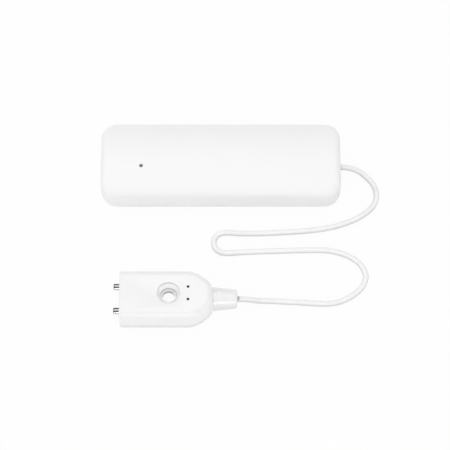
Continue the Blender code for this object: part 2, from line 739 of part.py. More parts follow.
def clamp_groove(name):
    """Round groove that grips the cord, as a cutter along X."""
    bm = bmesh.new()
    cylinder(bm, CORD_DIAMETER / 2 + SNUG_CLEARANCE, (CLAMP_X - CLAMP_LENGTH, 0, CORD_EXIT_Z),
             (CLAMP_X + CLAMP_LENGTH, 0, CORD_EXIT_Z), SMALL_TURN_STEPS)
    return new_tool(name, bm, UNIT)


def build_clamp_block():
    """Lower half of the cord clamp, standing on the back cover."""
    bm = bmesh.new()
    box(bm, (CLAMP_X - CLAMP_LENGTH / 2, -CLAMP_WIDTH / 2, BACK_THICKNESS / 2),
        (CLAMP_X + CLAMP_LENGTH / 2, CLAMP_WIDTH / 2, CORD_EXIT_Z - CLEARANCE / 2))
    block = new_tool("clamp_block", bm, UNIT)
    cut(block, clamp_groove("lower_groove"))
    return block


def build_back_cover():
    """Back cover: a plate with a lip, hooks, board feet, cell cradle and cord clamp block."""
    half_x = UNIT_END - BACK_INSET
    half_y = UNIT_WIDTH / 2 - BACK_INSET
    bm = bmesh.new()
    rounded_block(bm, (-half_x, -half_y, 0.0), (half_x, half_y, BACK_THICKNESS), UNIT_CORNER - BACK_INSET)
    bevel(bm, [edge for edge in bm.edges if at_level(edge, 0.0)], BACK_CHAMFER)
    cover = new_piece("back_cover", bm, WHITE_SHELL, UNIT)
    for rib in (build_lip(), build_hooks(), build_standoffs(), build_saddles(), build_end_walls(),
                build_clamp_block()):
        join(cover, rib)
    bm = bmesh.new()
    screw_radius = SCREW_SHANK_DIAMETER / 2 + SNUG_CLEARANCE
    for x, half_pitch, seat, top in ((BOARD_LEFT + STANDOFF_INSET, STANDOFF_Y, BOARD_TOP, BOARD_BOTTOM),
                                     (CLAMP_X, CLAMP_SCREW_PITCH / 2, CLAMP_SCREW_SEAT, CORD_EXIT_Z)):
        for side in (-1, 1):
            cylinder(bm, screw_radius, (x, side * half_pitch, seat - SCREW_LENGTH),
                     (x, side * half_pitch, top), SMALL_TURN_STEPS)
    cut(cover, new_tool("screw_holes", bm, UNIT))


# Status light


def build_light_pipe():
    """Clear pipe that carries the status light up through the crown."""
    foot = PIPE_FOOT_DIAMETER / 2
    shaft = PIPE_DIAMETER / 2
    tip = PIPE_TIP_DIAMETER / 2
    shoulder = COVER_CEILING_AT_LED - PIPE_BOTTOM - CLEARANCE
    top = COVER_TOP_AT_LED - PIPE_BOTTOM - PIPE_RECESS
    profile = ((0, top), (tip, top), (tip, shoulder), (shaft, shoulder), (shaft, PIPE_FOOT_HEIGHT),
               (foot, PIPE_FOOT_HEIGHT), (foot, 0), (0, 0))
    turned("light_pipe", profile, SMOKED_CLEAR, UNIT, (LED_X, LED_Y, PIPE_BOTTOM), steps=SMALL_TURN_STEPS)


def build_status_led():
    """Small lamp on the main board under the light pipe."""
    bm = bmesh.new()
    verts = box(bm, (LED_X - LED_SIZE / 2, LED_Y - LED_SIZE / 4, PARTS_Z),
                (LED_X + LED_SIZE / 2, LED_Y + LED_SIZE / 4, PARTS_Z + LED_HEIGHT))
    top = {edge for vert in verts for edge in vert.link_edges if at_level(edge, PARTS_Z + LED_HEIGHT)}
    bevel(bm, list(top), SMALL_EDGE / 2)
    new_piece("status_led", bm, LAMP_YELLOW, UNIT)


# Main board


def build_main_board():
    """Circuit board that carries the radio, the switch, the light and the cord socket."""
    bm = bmesh.new()
    rounded_block(bm, (BOARD_LEFT, -BOARD_WIDTH / 2, BOARD_BOTTOM), (BOARD_RIGHT, BOARD_WIDTH / 2, BOARD_TOP),
                  LIP_INNER_CORNER - BOARD_GAP, SMALL_CORNER_STEPS)
    board = new_piece("main_board", bm, GREEN_BOARD, UNIT)
    bm = bmesh.new()
    for side in (-1, 1):
        x = BOARD_LEFT + STANDOFF_INSET
        cylinder(bm, SCREW_SHANK_DIAMETER / 2 + CLEARANCE, (x, side * STANDOFF_Y, BACK_THICKNESS),
                 (x, side * STANDOFF_Y, BOARD_TOP + BOARD_THICKNESS), SMALL_TURN_STEPS)
    cut(board, new_tool("board_holes", bm, UNIT))


def build_radio():
    """Radio module: a small board whose can leaves the aerial end bare."""
    bottom = PARTS_Z
    top = bottom + RADIO_THICKNESS
    bm = bmesh.new()
    rounded_block(bm, (RADIO_LEFT, RADIO_Y - RADIO_WIDTH / 2, bottom),
                  (RADIO_LEFT + RADIO_LENGTH, RADIO_Y + RADIO_WIDTH / 2, top), SMALL_CORNER / 2,
                  SMALL_CORNER_STEPS)
    new_piece("radio_module", bm, GREEN_BOARD, UNIT)
    left = RADIO_LEFT + ANTENNA_LENGTH
    low = top + CLEARANCE
    bm = bmesh.new()
    rounded_block(bm, (left, RADIO_Y - SHIELD_WIDTH / 2, low),
                  (left + SHIELD_LENGTH, RADIO_Y + SHIELD_WIDTH / 2, low + SHIELD_HEIGHT), SMALL_CORNER,
                  SMALL_CORNER_STEPS)
    open_underside(bm, low)
    shield = new_piece("radio_shield", bm, BRIGHT_NICKEL, UNIT)
    add_wall(shield, SHIELD_WALL)


def build_power_chip():
    """Moulded chip that feeds the radio and reads the probe."""
    x = BOARD_LEFT + CHIP_X
    bm = bmesh.new()
    verts = box(bm, (x - CHIP_LENGTH / 2, CHIP_Y - CHIP_WIDTH / 2, PARTS_Z),
                (x + CHIP_LENGTH / 2, CHIP_Y + CHIP_WIDTH / 2, PARTS_Z + CHIP_HEIGHT))
    top = {edge for vert in verts for edge in vert.link_edges if at_level(edge, PARTS_Z + CHIP_HEIGHT)}
    bevel(bm, list(top), SMALL_EDGE)
    new_piece("power_chip", bm, BLACK_MOULDING, UNIT)


def build_capacitor():
    """Round capacitor that steadies the battery supply."""
    radius = CAPACITOR_DIAMETER / 2
    profile = ((0, CAPACITOR_HEIGHT), (radius - SMALL_EDGE, CAPACITOR_HEIGHT),
               (radius, CAPACITOR_HEIGHT - SMALL_EDGE), (radius, 0), (0, 0))
    turned("supply_capacitor", profile, ZINC_STEEL, UNIT, (BOARD_LEFT + CAPACITOR_X, CAPACITOR_Y, PARTS_Z),
           steps=SMALL_TURN_STEPS)


def build_pairing_switch():
    """Push switch for pairing: a body on the board and the button that travels in it."""
    top = PARTS_Z + SWITCH_HEIGHT
    half = SWITCH_SIZE / 2
    bm = bmesh.new()
    rounded_block(bm, (SWITCH_X - half, SWITCH_Y - half, PARTS_Z),
                  (SWITCH_X + half, SWITCH_Y + half, top), SWITCH_CORNER, SMALL_CORNER_STEPS)
    body = new_piece("switch_body", bm, BLACK_MOULDING, UNIT)
    bm = bmesh.new()
    well_bottom = top - BUTTON_DEPTH - BUTTON_TRAVEL - CLEARANCE
    cylinder(bm, BUTTON_DIAMETER / 2 + SNUG_CLEARANCE, (SWITCH_X, SWITCH_Y, well_bottom),
             (SWITCH_X, SWITCH_Y, top + SWITCH_HEIGHT), SMALL_TURN_STEPS)
    cut(body, new_tool("button_well", bm, UNIT))
    radius = BUTTON_DIAMETER / 2
    height = BUTTON_DEPTH + BUTTON_RISE
    profile = ((0, height), (radius - SMALL_EDGE, height), (radius, height - SMALL_EDGE), (radius, 0), (0, 0))
    turned("pairing_button", profile, CREAM_MOULDING, UNIT, (SWITCH_X, SWITCH_Y, top - BUTTON_DEPTH),
           steps=SMALL_TURN_STEPS)


def build_cord_connector():
    """Shrouded socket on the board and the plug that ends the cord's cores."""
    right = BOARD_RIGHT - SOCKET_INSET
    left = right - SOCKET_LENGTH
    low = PARTS_Z
    high = low + SOCKET_HEIGHT
    half = SOCKET_WIDTH / 2
    bm = bmesh.new()
    box(bm, (left, -half, low), (right, half, high))
    socket = new_piece("cord_socket", bm, CREAM_MOULDING, UNIT)
    bm = bmesh.new()
    box(bm, (left + SOCKET_WALL, -half + SOCKET_WALL, low + SOCKET_WALL),
        (right + SOCKET_WALL, half - SOCKET_WALL, high - SOCKET_WALL))
    cut(socket, new_tool("socket_mouth", bm, UNIT))
    inset = SOCKET_WALL + CLEARANCE
    bm = bmesh.new()
    verts = box(bm, (left + inset, -half + inset, low + inset),
                (right + PLUG_OVERHANG, half - inset, high - inset))
    lead = {edge for vert in verts for edge in vert.link_edges
            if all(abs(v.co.x - left - inset) < NEAR for v in edge.verts)}
    bevel(bm, list(lead), SMALL_EDGE)
    new_piece("cord_plug", bm, CREAM_MOULDING, UNIT)
    return Vector((right + PLUG_OVERHANG, 0.0, (low + high) / 2))


def build_screw_pair(name, x, seat, pitch):
    """Two small screws side by side, with their heads on one level."""
    head = SCREW_HEAD_DIAMETER / 2
    shank = SCREW_SHANK_DIAMETER / 2
    profile = ((0, SCREW_HEAD_HEIGHT), (head - SMALL_EDGE, SCREW_HEAD_HEIGHT),
               (head, SCREW_HEAD_HEIGHT - SMALL_EDGE), (head, 0), (shank, 0),
               (shank, SCREW_TIP - SCREW_LENGTH), (SCREW_TIP_DIAMETER / 2, -SCREW_LENGTH), (0, -SCREW_LENGTH))
    for number, side in ((1, 1), (2, -1)):
        turned(f"{name}_{number}", profile, ZINC_STEEL, UNIT, (x, side * pitch / 2, seat + CLEARANCE),
               steps=SMALL_TURN_STEPS)


# Battery bay


def build_cell(name, side, plus_x, towards):
    """One round cell. The plus end faces along +X or -X, and its nub tip is at plus_x."""
    radius = CELL_DIAMETER / 2
    nub = NUB_DIAMETER / 2
    shoulder = -NUB_HEIGHT
    profile = ((0, 0), (nub, 0), (nub, shoulder), (radius - CELL_EDGE, shoulder),
               (radius, shoulder - CELL_EDGE), (radius, CELL_EDGE - CELL_LENGTH),
               (radius - CELL_EDGE, -CELL_LENGTH), (0, -CELL_LENGTH))
    cell = turned(name, profile, CELL_JACKET, UNIT, (plus_x, side * CELL_Y, CELL_Z), along_x=True)
    cell.rotation_euler = (0.0, math.radians(90 * towards), 0.0)


def build_cells():
    """Two cells side by side, facing opposite ways."""
    build_cell("battery_cell_1", 1, RIGHT_CONTACT_X - CLEARANCE, 1)
    build_cell("battery_cell_2", -1, LEFT_CONTACT_X + CLEARANCE, -1)


def contact_plate(bm, x, low_y, high_y, low_z):
    """Adds an upright contact plate that faces along X."""
    box(bm, (x - CONTACT_THICKNESS, low_y, low_z), (x, high_y, CELL_Z + CONTACT_HEIGHT / 2))


def build_board_contact(name, side):
    """Contact plate at the board's end of the bay, with a tab that lies on the board."""
    edges_y = sorted((side * (CELL_Y - CONTACT_WIDTH / 2), side * (CELL_Y + CONTACT_WIDTH / 2)))
    bm = bmesh.new()
    contact_plate(bm, LEFT_CONTACT_X, *edges_y, CELL_Z - CONTACT_HEIGHT / 2)
    contact = new_piece(name, bm, BRIGHT_NICKEL, UNIT)
    inner = CELL_Y - CONTACT_WIDTH / 2
    tab_y = sorted((side * (inner + NEAR), side * (inner + TAB_WIDTH)))
    bm = bmesh.new()
    box(bm, (BOARD_RIGHT - TAB_REACH, tab_y[0], PARTS_Z),
        (LEFT_CONTACT_X - CONTACT_THICKNESS / 2, tab_y[1], PARTS_Z + CONTACT_THICKNESS))
    join(contact, new_tool(name + "_tab", bm, UNIT))


def build_link_contact():
    """Plate at the cord's end of the bay that joins the two cells over the cord's cores."""
    half = CELL_Y + CONTACT_WIDTH / 2
    low = CORD_EXIT_Z + CORE_DIAMETER / 2 + CLEARANCE
    bm = bmesh.new()
    contact_plate(bm, RIGHT_CONTACT_X + CONTACT_THICKNESS, -half, half, low)
    sides = [edge for edge in bm.edges if abs(edge.verts[0].co.y - edge.verts[1].co.y) < NEAR
             and abs(edge.verts[0].co.z - edge.verts[1].co.z) < NEAR]
    bevel(bm, sides, CONTACT_CORNER, SMALL_CORNER_STEPS)
    new_piece("link_contact", bm, BRIGHT_NICKEL, UNIT)


def build_spring(name, side, plate_x, towards):
    """Conical spring, wide at its plate and narrow at its cell."""
    length = SPRING_ROOM - 2 * CLEARANCE - SPRING_WIRE
    wide = (SPRING_WIDE - SPRING_WIRE) / 2
    narrow = (SPRING_NARROW - SPRING_WIRE) / 2
    start_x = plate_x + towards * (CLEARANCE + SPRING_WIRE / 2)
    count = SPRING_TURNS * SPRING_TURN_STEPS
    route = []
    for index in range(count + 1):
        share = index / count
        angle = 2 * math.pi * index / SPRING_TURN_STEPS
        radius = wide + (narrow - wide) * share
        route.append((start_x + towards * length * share,
                      side * CELL_Y + radius * math.cos(angle), CELL_Z + radius * math.sin(angle)))
    spring = round_wire(name, route, SPRING_WIRE, BRIGHT_NICKEL, UNIT)
    spring.data.bevel_resolution = 1


def build_battery_bay():
    """Everything between the board and the cord clamp."""
    build_cells()
    build_board_contact("negative_contact", 1)
    build_board_contact("positive_contact", -1)
    build_link_contact()
    build_spring("negative_spring", 1, LEFT_CONTACT_X, 1)
    build_spring("link_spring", -1, RIGHT_CONTACT_X, -1)


# Cord inside the main unit


def build_cord_grommet():
    """Soft bush in the cord slot, with a flange inside the wall."""
    bore = CORD_DIAMETER / 2 + SNUG_CLEARANCE
    neck = GROMMET_NECK_DIAMETER / 2
    flange = GROMMET_FLANGE_DIAMETER / 2
    inner_face = -COVER_WALL - CLEARANCE
    profile = ((bore, -SNUG_CLEARANCE), (neck, -SNUG_CLEARANCE), (neck, inner_face), (flange, inner_face),
               (flange, inner_face - GROMMET_FLANGE), (bore, inner_face - GROMMET_FLANGE))
    turned("cord_grommet", profile, WHITE_SOFT, UNIT, (UNIT_END, 0, CORD_EXIT_Z), along_x=True,
           closed=True)


def build_cord_clamp():
    """Bar screwed down over the cord."""
    bm = bmesh.new()
    bottom = CORD_EXIT_Z + CLEARANCE / 2
    verts = box(bm, (CLAMP_X - CLAMP_LENGTH / 2, -CLAMP_WIDTH / 2, bottom),
                (CLAMP_X + CLAMP_LENGTH / 2, CLAMP_WIDTH / 2, bottom + CLAMP_HEIGHT))
    upper = {edge for vert in verts for edge in vert.link_edges if at_level(edge, bottom + CLAMP_HEIGHT)}
    bevel(bm, list(upper), SMALL_EDGE)
    clamp = new_piece("cord_clamp", bm, WHITE_SHELL, UNIT)
    cut(clamp, clamp_groove("upper_groove"))
    top = bottom + 2 * CLAMP_HEIGHT
    for label, diameter, low in (("clamp_shank_holes", SCREW_SHANK_DIAMETER, BACK_THICKNESS),
                                 ("clamp_head_recesses", SCREW_HEAD_DIAMETER, CLAMP_SCREW_SEAT)):
        bm = bmesh.new()
        for side in (-1, 1):
            y = side * CLAMP_SCREW_PITCH / 2
            cylinder(bm, diameter / 2 + CLEARANCE, (CLAMP_X, y, low), (CLAMP_X, y, top), SMALL_TURN_STEPS)
        cut(clamp, new_tool(label, bm, UNIT))


def build_cord_inside(plug_face):
    """Jacket from the grommet to the clamp, and the two cores from there to the plug."""
    jacket_end = CLAMP_X - CLAMP_LENGTH / 2 - CLEARANCE
    jacket = [(x, 0.0, CORD_EXIT_Z) for x in (UNIT_END - SNUG_CLEARANCE, CLAMP_X, jacket_end)]
    round_wire("cord_tail", jacket, CORD_DIAMETER, WHITE_SOFT, UNIT)
    start = jacket_end - CLEARANCE
    lead = CORE_DIAMETER * 2
    climb = LEFT_CONTACT_X
    for number, side, look in ((1, 1, RED_WIRE), (2, -1, BLACK_WIRE)):
        y = side * CORE_SPREAD / 2
        points = ((start, y, CORD_EXIT_Z), (start - lead, y, CORD_EXIT_Z),
                  (RIGHT_CONTACT_X - 2 * lead, y, TRENCH_Z), (SADDLE_MIDDLE_X, y, TRENCH_Z),
                  (climb + 3 * lead, y, TRENCH_Z), (climb + lead, y, TRENCH_Z + CORE_DIAMETER / 4),
                  ((climb + plug_face.x) / 2, y, (TRENCH_Z + plug_face.z) / 2),
                  (plug_face.x + CLEARANCE, y, plug_face.z))
        round_wire(f"cord_core_{number}", smooth_route(points, CORE_POINT_STEP), CORE_DIAMETER, look, UNIT)


# Free cord


def build_cord():
    """The cord where it lies free, from the grommet's face to the strain relief's tip."""
    route = smooth_route((CORD_START, *CORD_ROUTE, CORD_END), CORD_POINT_STEP)
    round_wire("probe_cord", route, CORD_DIAMETER, WHITE_SOFT, None)


# Probe


def probe_block(bm, low, high, corner, inset=0.0, fillet=0.0):
    """Adds a block with the probe's outline, tapered at its right end, inset and filleted if asked."""
    slope = math.atan2((PROBE_WIDTH - TAPER_END_WIDTH) / 2, TAPER_LENGTH)
    left = PROBE_LEFT + inset
    right = PROBE_RIGHT - inset
    half = PROBE_WIDTH / 2 - inset
    end_half = TAPER_END_WIDTH / 2 - inset * (1 - math.sin(slope)) / math.cos(slope)
    taper_x = PROBE_RIGHT - TAPER_LENGTH - inset * math.tan(slope / 2)
    verts = box(bm, (left, -half, low), (right, half, high))
    bmesh.ops.bisect_plane(bm, geom=bm.verts[:] + bm.edges[:] + bm.faces[:], dist=NEAR,
                           plane_co=(taper_x, 0, 0), plane_no=(1, 0, 0))
    for vert in verts:
        if abs(vert.co.x - right) < NEAR:
            vert.co.y *= end_half / half
    across = [edge for edge in bm.edges if all(abs(v.co.x - taper_x) < NEAR for v in edge.verts)
              and not upright(edge)]
    bmesh.ops.dissolve_edges(bm, edges=across, use_verts=False)
    corners = [edge for edge in bm.edges if upright(edge) and edge.verts[0].co.x > taper_x - NEAR]
    bevel(bm, corners, corner, SMALL_CORNER_STEPS)
    if fillet:
        rim = [edge for edge in bm.edges if at_level(edge, high)
               and not all(abs(v.co.x - left) < NEAR for v in edge.verts)]
        bevel(bm, rim, fillet, FILLET_STEPS + 1)


def dish_radius(z):
    """Radius of the screw hole's dished recess at one height."""
    slope = (DISH_DIAMETER - SEAT_DIAMETER) / 2 / (DISH_DEPTH - DISH_STEP)
    cone = DISH_DIAMETER / 2 + (z - PROBE_HEIGHT + DISH_STEP) * slope
    return min(max(cone, SEAT_DIAMETER / 2), DISH_DIAMETER / 2)


def build_screw_boss():
    """Body round the screw hole: a cup under the dish, and a wide bell that is open below."""
    cup_top = PROBE_CEILING + PROBE_WALL / 2
    cup = SEAT_DIAMETER / 2 + TUBE_WALL
    bell_top = BELL_ROOF_Z + TUBE_WALL
    bell = BELL_RADIUS + TUBE_WALL
    profile = ((0, cup_top), (dish_radius(cup_top) + TUBE_WALL, cup_top), (cup, PROBE_HEIGHT - DISH_DEPTH),
               (cup, bell_top), (bell, bell_top), (bell, PROBE_RIM_Z), (0, PROBE_RIM_Z))
    return turned_tool("screw_boss", profile, PROBE, (HOLE_X, 0, 0))


def build_screw_space():
    """Space for the screw: its dish, the flat seat, the hole and the bell below."""
    above = PROBE_HEIGHT + PROBE_WALL
    seat_z = PROBE_HEIGHT - SEAT_DEPTH
    profile = ((0, above), (DISH_DIAMETER / 2, above), (DISH_DIAMETER / 2, PROBE_HEIGHT - DISH_STEP),
               (SEAT_DIAMETER / 2, PROBE_HEIGHT - DISH_DEPTH), (SEAT_DIAMETER / 2, seat_z),
               (HOLE_DIAMETER / 2, seat_z), (HOLE_DIAMETER / 2, BELL_ROOF_Z), (BELL_RADIUS, BELL_ROOF_Z),
               (BELL_RADIUS, -PROBE_WALL), (0, -PROBE_WALL))
    return turned_tool("screw_space", profile, PROBE, (HOLE_X, 0, 0))


def build_probe_housing():
    """Upper shell of the probe with its screw boss, pin holes, drip holes and relief slot."""
    bm = bmesh.new()
    probe_block(bm, PROBE_RIM_Z, PROBE_HEIGHT, PROBE_CORNER, fillet=PROBE_FILLET)
    open_underside(bm, PROBE_RIM_Z)
    housing = new_piece("probe_housing", bm, WHITE_SHELL, PROBE)
    add_wall(housing, PROBE_WALL)

    join(housing, build_screw_boss())
    cut(housing, build_screw_space())

    bm = bmesh.new()
    for side in (-1, 1):
        y = side * PIN_SPACING / 2
        cylinder(bm, PIN_DIAMETER / 2 + SNUG_CLEARANCE, (PROBE_LEFT - PROBE_WALL, y, PROBE_AXIS_Z),
                 (PROBE_LEFT + 2 * PROBE_WALL, y, PROBE_AXIS_Z), SMALL_TURN_STEPS)
    cut(housing, new_tool("pin_holes", bm, PROBE))
    bm = bmesh.new()
    for side in (-1, 1):
        y = side * DRIP_SPACING / 2
        cylinder(bm, DRIP_HOLE_DIAMETER / 2, (DRIP_X, y, PROBE_CEILING - PROBE_WALL),
                 (DRIP_X, y, PROBE_HEIGHT + PROBE_WALL), SMALL_TURN_STEPS)
    cut(housing, new_tool("drip_holes", bm, PROBE))
    bm = bmesh.new()
    slot_radius = RELIEF_NECK_DIAMETER / 2 + CLEARANCE
    round_top_slot(bm, PROBE_RIGHT - 2 * PROBE_WALL, PROBE_RIGHT + PROBE_WALL, slot_radius, 0.0,
                   PROBE_AXIS_Z)
    cut(housing, new_tool("relief_slot", bm, PROBE))


def build_probe_base():
    """Lower plate of the probe with a lip that locates the housing."""
    bm = bmesh.new()
    probe_block(bm, 0.0, PROBE_BASE, PROBE_CORNER)
    bevel(bm, [edge for edge in bm.edges if at_level(edge, 0.0)], PROBE_BASE_CHAMFER)
    base = new_piece("probe_base", bm, WHITE_SHELL, PROBE)
    bm = bmesh.new()
    probe_block(bm, PROBE_BASE / 2, PROBE_LIP_TOP, PROBE_CORNER - PROBE_LIP_INSET, PROBE_LIP_INSET)
    lip = new_tool("probe_lip", bm, PROBE)
    bm = bmesh.new()
    probe_block(bm, 0.0, 2 * PROBE_LIP_TOP, PROBE_INNER_CORNER, PROBE_LIP_INSET + PROBE_LIP_WALL)
    cut(lip, new_tool("probe_lip_pocket", bm, PROBE))
    bm = bmesh.new()
    notch = RELIEF_FLANGE_DIAMETER / 2 + CLEARANCE
    box(bm, (RELIEF_FLANGE_LEFT - CLEARANCE, -notch, 0.0), (PROBE_RIGHT, notch, 2 * PROBE_LIP_TOP))
    cut(lip, new_tool("probe_lip_notch", bm, PROBE))
    join(base, lip)
    bm = bmesh.new()
    cylinder(bm, BELL_RADIUS, (HOLE_X, 0, -PROBE_BASE), (HOLE_X, 0, 2 * PROBE_BASE))
    cut(base, new_tool("base_opening", bm, PROBE))


def build_probe_board():
    """Board over the pins, pierced for the cup under the screw's dish."""
    bm = bmesh.new()
    probe_block(bm, PROBE_BOARD_BOTTOM, PROBE_BOARD_TOP, PROBE_INNER_CORNER, PROBE_WALL + PROBE_BOARD_GAP)
    board = new_piece("probe_board", bm, GREEN_BOARD, PROBE)
    bm = bmesh.new()
    box(bm, (RELIEF_FLANGE_LEFT - CLEARANCE, -PROBE_WIDTH / 2, PROBE_BOARD_BOTTOM - PROBE_WALL),
        (PROBE_RIGHT, PROBE_WIDTH / 2, PROBE_BOARD_TOP + PROBE_WALL))
    cut(board, new_tool("board_end_cut", bm, PROBE))
    bm = bmesh.new()
    opening_radius = dish_radius(PROBE_BOARD_TOP) + TUBE_WALL + CLEARANCE
    cylinder(bm, opening_radius, (HOLE_X, 0, PROBE_BOARD_BOTTOM - PROBE_WALL),
             (HOLE_X, 0, PROBE_BOARD_TOP + PROBE_WALL))
    cut(board, new_tool("board_opening", bm, PROBE))


def build_contact_pins():
    """Two turned pins through the probe's left wall."""
    radius = PIN_DIAMETER / 2
    shoulder = PIN_SHOULDER_DIAMETER / 2
    inside = PROBE_WALL + CLEARANCE
    profile = ((0, PIN_TAIL), (radius, PIN_TAIL), (radius, inside + PIN_SHOULDER),
               (shoulder, inside + PIN_SHOULDER), (shoulder, inside), (radius, inside),
               (radius, SMALL_EDGE - PIN_PROJECTION), (radius - SMALL_EDGE, -PIN_PROJECTION),
               (0, -PIN_PROJECTION))
    for number, side in ((1, 1), (2, -1)):
        place = (PROBE_LEFT, side * PIN_SPACING / 2, PROBE_AXIS_Z)
        turned(f"contact_pin_{number}", profile, BRIGHT_NICKEL, PROBE, place, along_x=True)


def build_drip_contacts():
    """Two studs on the probe's board that end just below the drip holes."""
    foot = DRIP_FOOT_DIAMETER / 2
    tip = DRIP_TIP_DIAMETER / 2
    bottom = PROBE_BOARD_TOP + CLEARANCE
    step = PROBE_CEILING - CLEARANCE - bottom
    top = PROBE_HEIGHT - DRIP_RECESS - bottom
    profile = ((0, top), (tip, top), (tip, step), (foot, step), (foot, 0), (0, 0))
    for number, side in ((1, 1), (2, -1)):
        place = (DRIP_X, side * DRIP_SPACING / 2, bottom)
        turned(f"drip_contact_{number}", profile, DARK_NICKEL, PROBE, place, steps=SMALL_TURN_STEPS)


def build_strain_relief():
    """Soft tapered sleeve moulded round the cord, held by a neck and flange in the housing wall."""
    base = RELIEF_BASE_DIAMETER / 2
    tip = RELIEF_TIP_DIAMETER / 2
    neck = RELIEF_NECK_DIAMETER / 2
    flange = RELIEF_FLANGE_DIAMETER / 2
    flange_right = RELIEF_FLANGE_RIGHT - RELIEF_START
    flange_left = RELIEF_FLANGE_LEFT - RELIEF_START
    cone = base - RELIEF_COLLAR_STEP
    profile = [(0, RELIEF_LENGTH)]
    for step in range(RELIEF_EDGE_STEPS + 1):
        angle = math.radians(90) * step / RELIEF_EDGE_STEPS
        profile.append((tip - RELIEF_EDGE * (1 - math.sin(angle)),
                        RELIEF_LENGTH - RELIEF_EDGE * (1 - math.cos(angle))))
    profile += [(cone, RELIEF_COLLAR), (base, RELIEF_COLLAR), (base, 0), (neck, 0), (neck, flange_right),
                (flange, flange_right), (flange, flange_left), (0, flange_left)]
    turned("strain_relief", profile, WHITE_SOFT, PROBE, (RELIEF_START, 0, PROBE_AXIS_Z), along_x=True)


def build_probe_cores():
    """Two short cores from the strain relief to the underside of the probe's board."""
    start = RELIEF_FLANGE_LEFT - CLEARANCE
    end = start - 4 * CORE_DIAMETER
    end_z = PROBE_BOARD_BOTTOM - CLEARANCE - CORE_DIAMETER / 2
    for number, side, look in ((1, 1, RED_WIRE), (2, -1, BLACK_WIRE)):
        y = side * CORE_SPREAD / 2
        points = ((start, y, PROBE_AXIS_Z), (start - CORE_DIAMETER, y, PROBE_AXIS_Z),
                  ((start + end) / 2 - CORE_DIAMETER / 2, y, (PROBE_AXIS_Z + end_z) / 2), (end, y, end_z),
                  (end - CORE_DIAMETER, y, end_z))
        route = smooth_route(points, CORE_POINT_STEP / 2)
        round_wire(f"probe_core_{number}", route, CORE_DIAMETER, look, PROBE)


def build_main_unit():
    """Everything inside and around the main unit."""
    build_front_cover()
    build_back_cover()
    build_light_pipe()
    build_status_led()
    build_main_board()
    build_radio()
    build_power_chip()
    build_capacitor()
    build_pairing_switch()
    plug_face = build_cord_connector()
    build_screw_pair("board_screw", BOARD_LEFT + STANDOFF_INSET, BOARD_TOP, 2 * STANDOFF_Y)
    build_battery_bay()
    build_cord_grommet()
    build_cord_clamp()
    build_screw_pair("clamp_screw", CLAMP_X, CLAMP_SCREW_SEAT, CLAMP_SCREW_PITCH)
    build_cord_inside(plug_face)


def build_probe():
    """Everything inside and around the probe."""
    PROBE.location = (0.0, PROBE_Y, 0.0)
    build_probe_housing()
    build_probe_base()
    build_probe_board()
    build_contact_pins()
    build_drip_contacts()
    build_strain_relief()
    build_probe_cores()


build_main_unit()
build_cord()
build_probe()
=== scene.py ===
"""Dressing of a battery water leak sensor: smooth shells, cord, finishes, studio and camera.

Lengths are in metres in the frame's own axes: +X runs along the main unit towards its cord,
and +Z out of its crowned front. Places are read from the frame's nodes where they hold them.
"""

from __future__ import annotations

import logging
import math
from collections.abc import Callable, Mapping, Sequence
from dataclasses import dataclass, field, replace
from enum import Enum
from functools import cached_property

import bmesh
import bpy
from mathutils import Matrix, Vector

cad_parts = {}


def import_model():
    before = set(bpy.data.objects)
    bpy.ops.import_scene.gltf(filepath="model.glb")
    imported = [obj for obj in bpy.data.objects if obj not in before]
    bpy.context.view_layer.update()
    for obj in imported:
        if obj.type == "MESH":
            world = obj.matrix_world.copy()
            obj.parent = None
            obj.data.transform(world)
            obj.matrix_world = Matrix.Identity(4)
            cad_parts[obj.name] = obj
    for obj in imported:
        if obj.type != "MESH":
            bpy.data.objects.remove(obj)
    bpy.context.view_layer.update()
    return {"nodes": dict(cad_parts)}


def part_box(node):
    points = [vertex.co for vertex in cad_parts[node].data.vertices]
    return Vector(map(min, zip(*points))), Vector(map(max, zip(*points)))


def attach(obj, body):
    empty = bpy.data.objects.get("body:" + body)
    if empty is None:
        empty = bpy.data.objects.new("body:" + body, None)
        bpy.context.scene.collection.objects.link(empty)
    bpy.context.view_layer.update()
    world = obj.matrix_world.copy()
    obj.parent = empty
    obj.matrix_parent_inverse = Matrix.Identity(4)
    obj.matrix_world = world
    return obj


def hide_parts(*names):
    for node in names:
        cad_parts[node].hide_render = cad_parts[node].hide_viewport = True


LOG = logging.getLogger("leak_sensor")
NEAR = 1e-6
BODY = "sensor"
CORD_RADIUS = 0.00105
CORD_SINK = 0.0018
SEAM = 0.0003
LIP_OVERLAP = 0.0004

# Segments of rounded edges, and of round bodies
BROAD_EDGE = 14
MEDIUM_EDGE = 10
NARROW_EDGE = 5
SMALL_EDGE = 4
FINE_EDGE = 3
LARGE_ROUND = 96
ROUND = 64
MEDIUM_ROUND = 48
SMALL_ROUND = 32

Colour = tuple[float, float, float]
Profile = Sequence[tuple[float, float]]
Steps = Sequence[tuple[float, float]]
Socket = bpy.types.NodeSocket
Feed = Socket | float | Sequence[float]

# Numbers of a colour Mix node's sockets
MIX_FIRST = 6
MIX_SECOND = 7
MIX_RESULT = 2
WHITE_LIGHT = (1.0, 1.0, 1.0, 1.0)


class Join(Enum):
    """What a helper body does to a piece."""

    ADD = "UNION"
    CUT = "DIFFERENCE"
    KEEP = "INTERSECT"


class Part(Enum):
    """Which elements of a mesh an operator acts on."""

    VERTS = "VERT"
    EDGES = "EDGE"
    FACES = "FACE"


class Turn(Enum):
    """Axis that a turned piece is spun round, with a direction across it."""

    ALONG_X = ((1.0, 0.0, 0.0), (0.0, 1.0, 0.0))
    UPRIGHT = ((0.0, 0.0, 1.0), (1.0, 0.0, 0.0))

    @property
    def axis(self) -> Vector:
        """Direction of the axis."""
        return Vector(self.value[0])

    @property
    def across(self) -> Vector:
        """Direction in which the profile's radius is measured."""
        return Vector(self.value[1])


# Modelling steps


